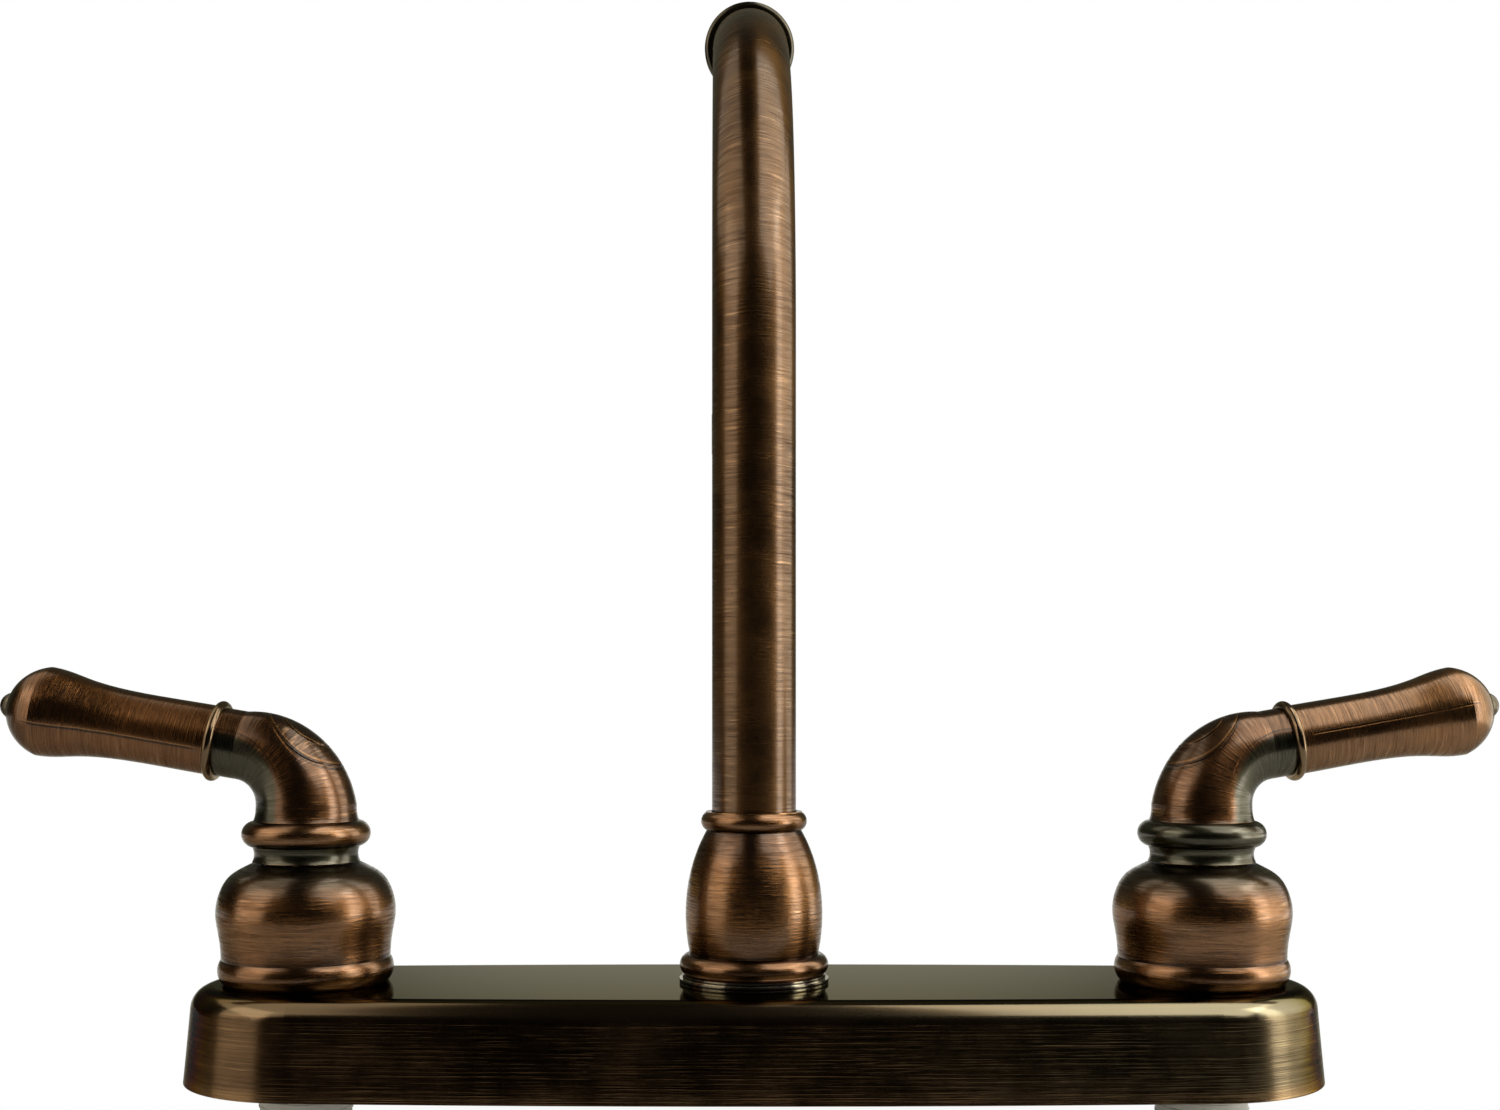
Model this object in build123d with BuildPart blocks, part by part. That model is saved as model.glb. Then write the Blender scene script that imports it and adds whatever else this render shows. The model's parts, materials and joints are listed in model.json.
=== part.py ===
from build123d import *
from math import cos, radians, sin
import os

# Two handle kitchen faucet on one deck cover. Millimetres, Z up.
# The origin is the middle of the deck cover's underside. The two valves stand towards -X (left) and
# +X (right), their levers point outwards, and the spout reaches towards +Y.

# ---- Whole faucet ----
valve_spacing = 203.2

# ---- Fits, all measured on the radius ----
running_gap = 0.05      # a shaft that turns in its bore
thread_gap = 0.1        # a nut on its thread
seating_gap = 0.02      # a piece pushed into its socket
turning_gap = 0.3       # a free face beside one that turns
hole_gap = 0.4          # a body that passes through the deck cover

# ---- Deck cover ----
deck_end_reach = 26.65      # beyond each valve's axis
deck_depth = 66.0           # at the middle, where the long sides bow out most
deck_end_radius = 30.3
deck_height = 21.3
deck_draft = 5.3            # degrees
deck_edge_radius = 5.0
deck_wall = 2.0

# ---- Base gasket ----
gasket_thickness = 3.0
gasket_gap = 0.5

# ---- Valve bodies ----
shank_radius = 10.48        # half inch pipe thread
shank_length = 48.0         # below the deck cover
supply_thread_length = 19.0     # at the foot of the shank, below its relief groove
shank_relief_width = 1.0
shank_relief_radius = 9.9
inlet_radius = 6.0
flange_radius = 18.0
flange_thickness = 3.0
barrel_radius = 13.6
barrel_top = 36.0
chamber_radius = 9.0
chamber_floor = 8.0

# ---- Crossover tubes ----
tube_line_height = 11.5
crossover_radius = 4.75
crossover_bore = 3.75
boss_radius = 7.3
boss_reach = 22.0           # from the valve's axis
socket_depth = 8.0

# ---- Centre body and spout post ----
centre_length = 44.0
centre_depth = 28.0
centre_height = 14.0
centre_corner = 6.0
post_radius = 11.4
post_top = 41.0
post_bore_radius = 8.05
post_bore_floor = 20.0
well_radius = 6.5
well_floor = 6.0

# ---- Mounting hardware ----
clamp_gap = 15.0            # between the deck cover and the washer, as stored
washer_radius = 21.0
washer_thickness = 2.0
nut_radius = 15.5
nut_height = 10.0
nut_wing_radius = 24.0
nut_wing_width = 4.0
nut_wings = 4

# ---- Hub covers, heights above the deck cover's top ----
pot_height = 27.0
pot_foot_radius = 18.15
pot_bead_radius = 19.5
pot_bead_height = 5.6
pot_waist_radius = 18.75
pot_widest_radius = 19.85
pot_widest_height = 17.3
pot_shoulder_radius = 17.55
pot_shoulder_height = 23.4
pot_top_radius = 12.0
pot_wall = 1.4
pot_skirt_depth = 5.0
pot_thread_top = 20.7

# ---- Cartridges ----
cartridge_gap = 0.1
cartridge_lower_radius = 7.8
cartridge_lower_bore = 6.4
cartridge_step = 24.0       # height where it fills the chamber
cartridge_hex = 20.0        # across flats
cartridge_hex_height = 5.0
sleeve_radius = 7.2
sleeve_height = 5.0
window_width = 5.0
window_height = 3.6
disc_gap = 0.05
seal_thickness = 3.0
seal_bore = 3.5
disc_thickness = 3.0
disc_port_radius = 1.8
disc_port_offset = 3.2
stem_radius = 4.95
stem_driver_height = 3.0
stem_neck_radius = 3.6
spline_radius = 4.0
spline_count = 16
spline_groove = 0.35
spline_length = 9.0
o_ring_thickness = 1.25
o_ring_groove_width = 1.7
stem_ring_height = 30.0
stop_pin_width = 2.4
stop_pin_height = 1.6
stop_pin_reach = 6.8
stop_margin = 17.0          # degrees beyond the quarter turn, each way, that hold the pin itself
quarter_turn = 90.0

# ---- Levers ----
right_lever_turned = 4.0    # degrees that the right lever stands turned at rest; the left one stands square
neck_foot_radius = 11.95
neck_radius = 11.5
neck_height = 3.4
lever_bead_radius = 14.3
lever_bead_height = 5.8
elbow_base_radius = 11.15
elbow_base_height = 13.3    # above the top of the hub cover
elbow_inner_radius = 5.6
elbow_turn = 80.2           # degrees
elbow_end_radius = 7.8
elbow_sections = 5
spigot_radius = 5.0
spigot_length = 18.0
ring_start = 4.6            # along the lever from the end of the elbow
ring_width = 2.3
ring_radius = 9.2
grip_length = 46.3
grip_root_radius = 7.95
grip_waist_radius = 7.85
grip_waist = 13.0
grip_swell_radius = 8.95
grip_swell = 30.0
grip_bulge_radius = 10.2
grip_bulge = 38.6
grip_dome_radius = 11.0
button_radius = 3.1
button_length = 2.4
screw_radius = 2.0
screw_clearance = 0.2
screw_head_radius = 3.5
screw_head_height = 2.4
screw_length = 12.0
screw_recess_width = 0.9
screw_recess_depth = 1.3
cap_radius = 8.15
cap_gap = 0.15
cap_seat_height = 20.9      # above the top of the hub cover
cap_ring_radius = 4.9
cap_ring_width = 0.3
cap_ring_depth = 0.35

# ---- Spout ----
spout_radius = 9.53         # three quarter inch tube
spout_wall = 1.1
bend_start = 169.6
bend_radius = 90.0
bend_turn = 165.0           # degrees
spout_tail = 20.0
spout_turned = 1.0          # degrees that the spout stands turned from +Y at rest
collar_turn = 77.0          # degrees along the bend
collar_radius = 11.8
collar_length = 5.0
collar_round = 1.2
collar_gap = 0.1
plug_radius = 8.0
plug_length = 19.0
ferrule_flange_radius = 11.0
ferrule_flange_height = 2.3
ferrule_spigot_length = 9.0
ferrule_bore = 6.2
plug_ring_spacing = 7.0

# ---- Spout nut and base ring, radii from the photograph's outline ----
base_ring_radius = 16.9
base_ring_step = 0.7
base_ring_lower = 1.0
base_ring_upper = 0.8
nut_foot_radius = 15.6
nut_bead_radius = 16.85
nut_bead_height = 4.7
nut_waist_radius = 14.6
nut_belly_radius = 15.5
nut_belly_height = 13.4
nut_shoulder_radius = 14.1
nut_shoulder_height = 24.3
nut_neck_radius = 10.75
nut_neck_height = 32.5
nut_lip_radius = 12.0
nut_lip_height = 36.6
nut_crown_radius = 10.9
spout_nut_height = 36.8
nut_throat_height = 27.5
nut_throat_gap = 0.25

# ---- Aerator ----
aerator_radius = 10.6
aerator_overlap = 5.0
aerator_length = 9.0
aerator_lip = 1.2
aerator_lip_radius = 8.6
aerator_washer = 1.5
aerator_washer_bore = 7.4
aerator_edge_round = 0.8
insert_gap = 0.15
jet_radius = 0.6
jet_spacing = 2.0
jet_rings = 3
jets_in_first_ring = 6
jet_recess = 1.0

# ---- Sizes that follow from those above ----
deck_length = valve_spacing + 2 * deck_end_reach
deck_top = deck_height
shank_bottom = -shank_length
shank_relief_bottom = shank_bottom + supply_thread_length
shank_relief_top = shank_relief_bottom + shank_relief_width
pot_top = deck_top + pot_height
neck_bottom = pot_top + turning_gap
base_ring_top = deck_top + base_ring_lower + base_ring_upper
ferrule_flange_bottom = post_top + cartridge_gap
spout_bottom = ferrule_flange_bottom + ferrule_flange_height
bushing_bottom = spout_bottom + turning_gap
bushing_top = base_ring_top + nut_throat_height
fixed_disc_bottom = chamber_floor + seal_thickness
turning_disc_bottom = fixed_disc_bottom + disc_thickness + disc_gap
stem_bottom = turning_disc_bottom + disc_thickness
hex_top = barrel_top + cartridge_hex_height
sleeve_top = hex_top + sleeve_height
spline_bottom = neck_bottom + turning_gap
spline_top = spline_bottom + spline_length
elbow_base = pot_top + elbow_base_height
cap_seat = pot_top + cap_seat_height
screw_seat = spline_top + screw_head_height + screw_clearance
washer_top = -clamp_gap
nut_top = washer_top - washer_thickness

os.makedirs("parts", exist_ok=True)


def save(piece, node):
    """Name a finished piece and write it to its own file."""
    piece.label = node
    export_step(piece, f"parts/{node}.step")


def level(axis_x, height):
    """Level plane on the vertical axis at axis_x, at a height above the deck cover's underside."""
    return Plane(origin=(axis_x, 0, height))


def upright(axis_x, side=1, turn=0.0):
    """Vertical plane on the axis at axis_x: local X runs outwards to its side, turned by some degrees
    towards +Y, and local Y runs up."""
    across = side * cos(radians(turn))
    back = sin(radians(turn))
    return Plane(origin=(axis_x, 0, 0), x_dir=(across, back, 0), z_dir=(back, -across, 0))


def lever_plane(axis_x, side):
    """Upright plane that holds a lever: local X runs the way the lever points at rest."""
    return upright(axis_x, side, right_lever_turned if side > 0 else 0.0)


def lever_level(axis_x, side, height):
    """Level plane on a valve's axis that turns with its lever: local X runs the way the lever points."""
    return Plane(origin=(axis_x, 0, height), x_dir=lever_plane(axis_x, side).x_dir, z_dir=(0, 0, 1))


def axis_of(plane):
    return Axis(plane.origin, plane.y_dir)


def sleeve(plane, radius, bore, length):
    """Plain ring or tube that starts on a plane."""
    with BuildPart() as ring:
        with BuildSketch(plane):
            Circle(radius)
            Circle(bore, mode=Mode.SUBTRACT)
        extrude(amount=length)
    return ring.part


def o_ring(plane, shaft_radius, bore_radius):
    """O-ring in a groove of the shaft, just clear of the bore that it seals."""
    centre = bore_radius - seating_gap - o_ring_thickness / 2
    with BuildPart() as ring:
        with BuildSketch(Plane(origin=plane.origin, x_dir=(1, 0, 0), z_dir=(0, -1, 0))):
            with Locations((centre, 0)):
                Circle(o_ring_thickness / 2)
        revolve(axis=Axis(plane.origin, (0, 0, 1)))
    return ring.part


def groove_floor(bore_radius):
    """Radius of the groove's floor under an O-ring that reaches the bore."""
    return bore_radius - seating_gap - o_ring_thickness


# ---- Deck cover and base gasket ----

def plate_outline(inset):
    """The plate's plan, drawn in by inset: two long arcs that run smoothly into two round ends."""
    end_centre = deck_length / 2 - deck_end_radius
    end_radius = deck_end_radius - inset
    half_depth = deck_depth / 2 - inset
    side_radius = (end_centre**2 + half_depth**2 - end_radius**2) / (2 * (half_depth - end_radius))
    stretch = end_radius / (side_radius - end_radius)
    touch_x = end_centre * (1 + stretch)
    touch_y = stretch * (side_radius - half_depth)
    end_x = end_centre + end_radius
    with BuildSketch() as outline:
        with BuildLine():
            ThreePointArc((-touch_x, -touch_y), (0, -half_depth), (touch_x, -touch_y))
            ThreePointArc((touch_x, -touch_y), (end_x, 0), (touch_x, touch_y))
            ThreePointArc((touch_x, touch_y), (0, half_depth), (-touch_x, touch_y))
            ThreePointArc((-touch_x, touch_y), (-end_x, 0), (-touch_x, -touch_y))
        make_face()
    return outline.sketch


def make_deck_cover():
    with BuildPart() as cover:
        extrude(plate_outline(0), amount=deck_height, taper=deck_draft)
        fillet(cover.faces().sort_by(Axis.Z)[-1].edges(), deck_edge_radius)
        extrude(plate_outline(deck_wall), amount=deck_height - deck_wall, taper=deck_draft,
                mode=Mode.SUBTRACT)
        with Locations((-valve_spacing / 2, 0), (valve_spacing / 2, 0)):
            Hole(barrel_radius + hole_gap, depth=deck_height * 2)
        with Locations((0, 0)):
            Hole(post_radius + hole_gap, depth=deck_height * 2)
    return cover.part


def make_base_gasket():
    with BuildPart() as gasket:
        extrude(plate_outline(deck_wall + gasket_gap), amount=gasket_thickness)
        with Locations((-valve_spacing / 2, 0), (valve_spacing / 2, 0)):
            Hole(shank_radius + hole_gap, depth=gasket_thickness)
    return gasket.part


# ---- Waterway under the deck cover ----

def make_valve_body(axis_x, side):
    inward = Plane(origin=(axis_x, 0, tube_line_height), z_dir=(-side, 0, 0))
    with BuildPart() as body:
        with BuildSketch(upright(axis_x, side)):
            with BuildLine():
                Polyline(
                    (inlet_radius, shank_bottom),
                    (shank_radius, shank_bottom),
                    (shank_radius, shank_relief_bottom),
                    (shank_relief_radius, shank_relief_bottom),
                    (shank_relief_radius, shank_relief_top),
                    (shank_radius, shank_relief_top),
                    (shank_radius, gasket_thickness),
                    (flange_radius, gasket_thickness),
                    (flange_radius, gasket_thickness + flange_thickness),
                    (barrel_radius, gasket_thickness + flange_thickness),
                    (barrel_radius, barrel_top),
                    (inlet_radius, barrel_top),
                    close=True,
                )
            make_face()
        revolve(axis=axis_of(upright(axis_x)))
        with BuildSketch(inward.offset(barrel_radius - socket_depth)):
            Circle(boss_radius)
        extrude(amount=boss_reach - barrel_radius + socket_depth)
        with BuildSketch(level(axis_x, chamber_floor)):
            Circle(chamber_radius)
        extrude(amount=barrel_top - chamber_floor, mode=Mode.SUBTRACT)
        with BuildSketch(inward.offset(chamber_radius / 2)):
            Circle(crossover_bore)
        extrude(amount=boss_reach, mode=Mode.SUBTRACT)
        with BuildSketch(inward.offset(boss_reach - socket_depth)):
            Circle(crossover_radius + seating_gap)
        extrude(amount=socket_depth, mode=Mode.SUBTRACT)
    return body.part


def make_centre_body():
    ends = Plane(origin=(0, 0, tube_line_height), z_dir=(1, 0, 0))
    with BuildPart() as body:
        with BuildSketch(level(0, gasket_thickness)):
            RectangleRounded(centre_length, centre_depth, centre_corner)
        extrude(amount=centre_height)
        with BuildSketch(level(0, gasket_thickness + centre_height)):
            Circle(post_radius)
        extrude(amount=post_top - gasket_thickness - centre_height)
        with BuildSketch(level(0, well_floor)):
            Circle(well_radius)
        extrude(amount=post_top - well_floor, mode=Mode.SUBTRACT)
        with BuildSketch(level(0, post_bore_floor)):
            Circle(post_bore_radius)
        extrude(amount=post_top - post_bore_floor, mode=Mode.SUBTRACT)
        with BuildSketch(ends.offset(-centre_length / 2)):
            Circle(crossover_bore)
        extrude(amount=centre_length, mode=Mode.SUBTRACT)
        with BuildSketch(ends.offset(-centre_length / 2), ends.offset(centre_length / 2 - socket_depth)):
            Circle(crossover_radius + seating_gap)
        extrude(amount=socket_depth, mode=Mode.SUBTRACT)
    return body.part


def make_crossover_tube(side):
    start = centre_length / 2 - socket_depth
    end = valve_spacing / 2 - boss_reach + socket_depth
    outward = Plane(origin=(side * start, 0, tube_line_height), z_dir=(side, 0, 0))
    return sleeve(outward, crossover_radius, crossover_bore, end - start)


def make_mounting_nut(axis_x):
    with BuildPart() as nut:
        with BuildSketch(level(axis_x, nut_top - nut_height)):
            Circle(nut_radius)
            with Locations(Location((0, 0, 0), 45)):
                for turn in range(nut_wings // 2):
                    Rectangle(2 * nut_wing_radius, nut_wing_width, rotation=turn * 360 / nut_wings)
            Circle(shank_radius + thread_gap, mode=Mode.SUBTRACT)
        extrude(amount=nut_height)
    return nut.part


# ---- Hub covers and cartridges ----

def make_hub_cover(axis_x):
    thread_radius = barrel_radius + thread_gap
    throat_radius = pot_top_radius - pot_wall
    with BuildPart() as pot:
        with BuildSketch(upright(axis_x)):
            with BuildLine():
                ThreePointArc(
                    (pot_foot_radius, deck_top),
                    (pot_bead_radius, deck_top + pot_bead_height / 2),
                    (pot_waist_radius, deck_top + pot_bead_height),
                )
                Spline(
                    (pot_waist_radius, deck_top + pot_bead_height),
                    (pot_widest_radius, deck_top + pot_widest_height),
                    (pot_shoulder_radius, deck_top + pot_shoulder_height),
                    (pot_top_radius, pot_top),
                    tangents=((0, 1), (-1, 0.5)),
                )
                Polyline(
                    (pot_top_radius, pot_top),
                    (throat_radius, pot_top),
                    (throat_radius, pot_top - pot_wall),
                    (thread_radius, deck_top + pot_thread_top),
                    (thread_radius, deck_top + pot_skirt_depth),
                    (pot_foot_radius - pot_wall, deck_top + pot_skirt_depth),
                    (pot_foot_radius - pot_wall, deck_top),
                    (pot_foot_radius, deck_top),
                )
            make_face()
        revolve(axis=axis_of(upright(axis_x)))
    return pot.part


def make_cartridge_body(axis_x, side):
    upper_radius = chamber_radius - cartridge_gap
    bottom = chamber_floor + cartridge_gap
    with BuildPart() as cartridge:
        with BuildSketch(level(axis_x, bottom)):
            Circle(cartridge_lower_radius)
        extrude(amount=cartridge_step - bottom)
        with BuildSketch(level(axis_x, cartridge_step)):
            Circle(upper_radius)
        extrude(amount=barrel_top - cartridge_step)
        with BuildSketch(level(axis_x, barrel_top)):
            RegularPolygon(cartridge_hex / 2, 6, major_radius=False)
        extrude(amount=cartridge_hex_height)
        with BuildSketch(level(axis_x, hex_top)):
            Circle(sleeve_radius)
        extrude(amount=sleeve_height)
        with BuildSketch(level(axis_x, bottom)):
            Circle(cartridge_lower_bore)
        extrude(amount=cartridge_step - bottom, mode=Mode.SUBTRACT)
        with BuildSketch(level(axis_x, cartridge_step)):
            Circle(stem_radius + running_gap)
        extrude(amount=sleeve_top - cartridge_step, mode=Mode.SUBTRACT)
        with BuildSketch(Plane(origin=(axis_x, 0, stem_bottom + window_height / 2), z_dir=(0, 1, 0))):
            Rectangle(window_width, window_height)
        extrude(amount=cartridge_lower_radius, both=True, mode=Mode.SUBTRACT)
        with BuildSketch(upright(axis_x, side, -stop_margin)):
            with Locations((stem_radius / 2, sleeve_top)):
                Rectangle(sleeve_radius, 2 * (stop_pin_height + turning_gap),
                          align=(Align.MIN, Align.CENTER))
        revolve(axis=Axis((axis_x, 0, 0), (0, 0, side)), revolution_arc=quarter_turn + 2 * stop_margin,
                mode=Mode.SUBTRACT)
    return cartridge.part


def make_valve_disc(plane):
    """Ceramic disc with two ports."""
    with BuildPart() as disc:
        with BuildSketch(plane):
            Circle(cartridge_lower_bore - cartridge_gap)
            with Locations((0, disc_port_offset), (0, -disc_port_offset)):
                Circle(disc_port_radius, mode=Mode.SUBTRACT)
        extrude(amount=disc_thickness)
    return disc.part


def make_cartridge_stem(axis_x, side):
    driver_radius = cartridge_lower_bore - cartridge_gap
    groove_low = stem_ring_height - o_ring_groove_width / 2
    groove_high = stem_ring_height + o_ring_groove_width / 2
    floor_radius = groove_floor(stem_radius + running_gap)
    pin_middle = sleeve_top - stop_pin_height / 2
    with BuildPart() as stem:
        with BuildSketch(upright(axis_x)):
            with BuildLine():
                Polyline(
                    (0, stem_bottom),
                    (driver_radius, stem_bottom),
                    (driver_radius, stem_bottom + stem_driver_height),
                    (stem_neck_radius, stem_bottom + stem_driver_height),
                    (stem_neck_radius, cartridge_step),
                    (stem_radius, cartridge_step + turning_gap),
                    (stem_radius, groove_low),
                    (floor_radius, groove_low),
                    (floor_radius, groove_high),
                    (stem_radius, groove_high),
                    (stem_radius, sleeve_top + turning_gap),
                    (spline_radius, sleeve_top + turning_gap),
                    (spline_radius, spline_top),
                    (0, spline_top),
                    close=True,
                )
            make_face()
        revolve(axis=axis_of(upright(axis_x)))
        with BuildSketch(lever_level(axis_x, side, spline_bottom)):
            with PolarLocations(spline_radius, spline_count):
                Circle(spline_groove)
        extrude(amount=spline_length, mode=Mode.SUBTRACT)
        with BuildSketch(lever_level(axis_x, side, pin_middle - stop_pin_height / 2)):
            with Locations(((stem_neck_radius + stop_pin_reach) / 2, 0)):
                Rectangle(stop_pin_reach - stem_neck_radius, stop_pin_width)
        extrude(amount=stop_pin_height)
        with BuildSketch(level(axis_x, spline_top)):
            Circle(screw_radius)
        extrude(amount=-screw_length, mode=Mode.SUBTRACT)
    return stem.part


# ---- Levers ----

def elbow_point(side, axis_x, distance, angle):
    """Point at a distance from the centre of the elbow's turn, angle degrees round it."""
    centre_x = elbow_inner_radius + elbow_base_radius
    return lever_plane(axis_x, side).from_local_coords(
        (centre_x - distance * cos(radians(angle)), elbow_base + distance * sin(radians(angle)), 0)
    )


def along_lever(side, axis_x, angle=elbow_turn):
    """Upright plane on the lever's axis where the elbow has turned by angle: local X runs along it."""
    plane = lever_plane(axis_x, side)
    radius = elbow_radius_at(angle)
    heading = plane.x_dir * sin(radians(angle)) + plane.y_dir * cos(radians(angle))
    return Plane(
        origin=elbow_point(side, axis_x, elbow_inner_radius + radius, angle),
        x_dir=heading,
        z_dir=plane.z_dir,
    )


def elbow_radius_at(angle):
    return elbow_base_radius + (elbow_end_radius - elbow_base_radius) * angle / elbow_turn


def across_lever(side, axis_x, angle=elbow_turn, distance=0.0):
    """Plane square to the lever's axis."""
    along = along_lever(side, axis_x, angle)
    return Plane(origin=along.origin, x_dir=along.z_dir, z_dir=along.x_dir).offset(distance)


def make_elbow_blank(axis_x, side, shrink=0.0):
    """The elbow's swept form alone, drawn in by shrink."""
    with BuildPart() as blank:
        for step in range(elbow_sections):
            angle = elbow_turn * step / (elbow_sections - 1)
            with BuildSketch(across_lever(side, axis_x, angle)):
                Circle(elbow_radius_at(angle) - shrink)
        loft()
    return blank.part


def make_elbow(axis_x, side, blank):
    bead_bottom = neck_bottom + neck_height
    bead_top = bead_bottom + lever_bead_height
    bead_root = (neck_radius + neck_foot_radius) / 2
    pocket_radius = cap_radius + cap_gap
    with BuildPart() as elbow:
        add(blank)
        with BuildSketch(upright(axis_x)):
            with BuildLine():
                ThreePointArc(
                    (neck_foot_radius, neck_bottom),
                    (neck_radius, neck_bottom + neck_height / 2),
                    (neck_foot_radius, bead_bottom),
                )
                ThreePointArc(
                    (neck_foot_radius, bead_bottom),
                    (lever_bead_radius, (bead_bottom + bead_top) / 2),
                    (bead_root, bead_top),
                )
                Spline((bead_root, bead_top), (elbow_base_radius, elbow_base),
                       tangents=((-0.5, 1), (0, 1)))
                Polyline(
                    (elbow_base_radius, elbow_base),
                    (0, elbow_base),
                    (0, neck_bottom),
                    (neck_foot_radius, neck_bottom),
                )
            make_face()
        revolve(axis=axis_of(upright(axis_x)))
        with BuildSketch(across_lever(side, axis_x)):
            Circle(elbow_end_radius)
        extrude(amount=ring_start)
        with BuildSketch(across_lever(side, axis_x, distance=ring_start)):
            Circle(spigot_radius)
        extrude(amount=spigot_length - ring_start)
        with BuildSketch(level(axis_x, neck_bottom)):
            Circle(spline_radius + seating_gap)
        extrude(amount=spline_top - neck_bottom, mode=Mode.SUBTRACT)
        with BuildSketch(level(axis_x, spline_top)):
            Circle(screw_radius + screw_clearance)
        extrude(amount=screw_seat - spline_top, mode=Mode.SUBTRACT)
        with BuildSketch(level(axis_x, screw_seat)):
            Circle(screw_head_radius + screw_clearance)
        extrude(amount=cap_seat - screw_seat, mode=Mode.SUBTRACT)
        with BuildSketch(level(axis_x, cap_seat)):
            Circle(pocket_radius)
        extrude(amount=2 * pocket_radius, mode=Mode.SUBTRACT)
    return elbow.part


def make_elbow_cap(axis_x, blank, inner_blank):
    """Cap over the handle screw: its top is the elbow's own surface, with one engraved ring."""
    with BuildPart() as ring:
        with BuildSketch(level(axis_x, cap_seat)):
            Circle(cap_ring_radius + cap_ring_width / 2)
            Circle(cap_ring_radius - cap_ring_width / 2, mode=Mode.SUBTRACT)
        extrude(amount=2 * cap_radius)
        add(inner_blank, mode=Mode.SUBTRACT)
    with BuildPart() as cap:
        add(blank)
        with BuildSketch(level(axis_x, cap_seat)):
            Circle(cap_radius)
        extrude(amount=2 * cap_radius, mode=Mode.INTERSECT)
        add(ring.part, mode=Mode.SUBTRACT)
    return cap.part


def make_lever_ring(axis_x, side):
    bore = spigot_radius + seating_gap
    round_centre = ring_radius - ring_width / 2
    with BuildPart() as ring:
        with BuildSketch(along_lever(side, axis_x)):
            with BuildLine():
                Polyline(
                    (ring_start, round_centre),
                    (ring_start, bore),
                    (ring_start + ring_width, bore),
                    (ring_start + ring_width, round_centre),
                )
                ThreePointArc(
                    (ring_start + ring_width, round_centre),
                    (ring_start + ring_width / 2, ring_radius),
                    (ring_start, round_centre),
                )
            make_face()
        revolve(axis=Axis(along_lever(side, axis_x).origin, along_lever(side, axis_x).x_dir))
    return ring.part


def make_grip(axis_x, side):
    start = ring_start + ring_width
    end = start + grip_length
    button = end + button_length
    with BuildPart() as grip:
        with BuildSketch(along_lever(side, axis_x)):
            with BuildLine():
                Spline(
                    (start, grip_root_radius),
                    (start + grip_waist, grip_waist_radius),
                    (start + grip_swell, grip_swell_radius),
                    (start + grip_bulge, grip_bulge_radius),
                    tangents=((1, 0), (1, 0)),
                )
                RadiusArc(
                    (start + grip_bulge, grip_bulge_radius),
                    (end, button_radius),
                    grip_dome_radius,
                )
                Spline(
                    (end, button_radius),
                    (button, 0),
                    tangents=((1, -0.4), (0, -1)),
                )
                Polyline(
                    (button, 0),
                    (spigot_length + screw_clearance, 0),
                    (spigot_length + screw_clearance, spigot_radius + seating_gap),
                    (start, spigot_radius + seating_gap),
                    (start, grip_root_radius),
                )
            make_face()
        revolve(axis=Axis(along_lever(side, axis_x).origin, along_lever(side, axis_x).x_dir))
    return grip.part


def make_handle_screw(axis_x, side):
    head_top = screw_seat + screw_head_height
    with BuildPart() as screw:
        with BuildSketch(level(axis_x, screw_seat)):
            Circle(screw_head_radius)
        extrude(amount=screw_head_height)
        fillet(screw.edges().sort_by(Axis.Z)[-1], screw_head_height / 3)
        with BuildSketch(level(axis_x, screw_seat)):
            Circle(screw_radius - seating_gap)
        extrude(amount=-screw_length)
        with BuildSketch(lever_level(axis_x, side, head_top)):
            Rectangle(screw_head_radius, screw_recess_width)
            Rectangle(screw_recess_width, screw_head_radius)
        extrude(amount=-screw_recess_depth, mode=Mode.SUBTRACT)
    return screw.part


# ---- Spout ----

def spout_plane():
    """Upright plane that holds the spout's bend: local X runs the way the spout reaches."""
    return upright(0, turn=90 + spout_turned)


def bend_point(angle, extra=0.0):
    """Point of the spout's centre line after angle degrees of its bend, and extra beyond it."""
    turn = radians(angle)
    return (
        bend_radius * (1 - cos(turn)) + extra * sin(turn),
        bend_start + bend_radius * sin(turn) + extra * cos(turn),
    )


def across_spout(angle, extra=0.0):
    """Plane square to the spout's centre line."""
    plane = spout_plane()
    turn = radians(angle)
    x, y = bend_point(angle, extra)
    heading = plane.x_dir * sin(turn) + plane.y_dir * cos(turn)
    return Plane(origin=plane.from_local_coords((x, y, 0)), x_dir=plane.z_dir, z_dir=heading)


def make_spout_tube():
    with BuildPart() as tube:
        with BuildLine(spout_plane()) as centre_line:
            Line((0, spout_bottom), (0, bend_start))
            CenterArc((bend_radius, bend_start), bend_radius, 180, -bend_turn)
            Line(bend_point(bend_turn), bend_point(bend_turn, spout_tail))
        with BuildSketch(level(0, spout_bottom)):
            Circle(spout_radius)
            Circle(spout_radius - spout_wall, mode=Mode.SUBTRACT)
        sweep(path=centre_line.wires()[0])
    return tube.part


def make_spout_collar():
    with BuildPart() as collar:
        with BuildSketch(across_spout(collar_turn).offset(-collar_length / 2)):
            Circle(collar_radius)
        extrude(amount=collar_length)
        fillet(collar.edges(), collar_round)
        with BuildSketch(across_spout(collar_turn).offset(-collar_length / 2)):
            Circle(spout_radius + collar_gap)
        extrude(amount=collar_length, mode=Mode.SUBTRACT)
    return collar.part


def plug_ring_heights():
    middle = ferrule_flange_bottom - plug_length / 2
    return (middle - plug_ring_spacing / 2, middle + plug_ring_spacing / 2)


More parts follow.
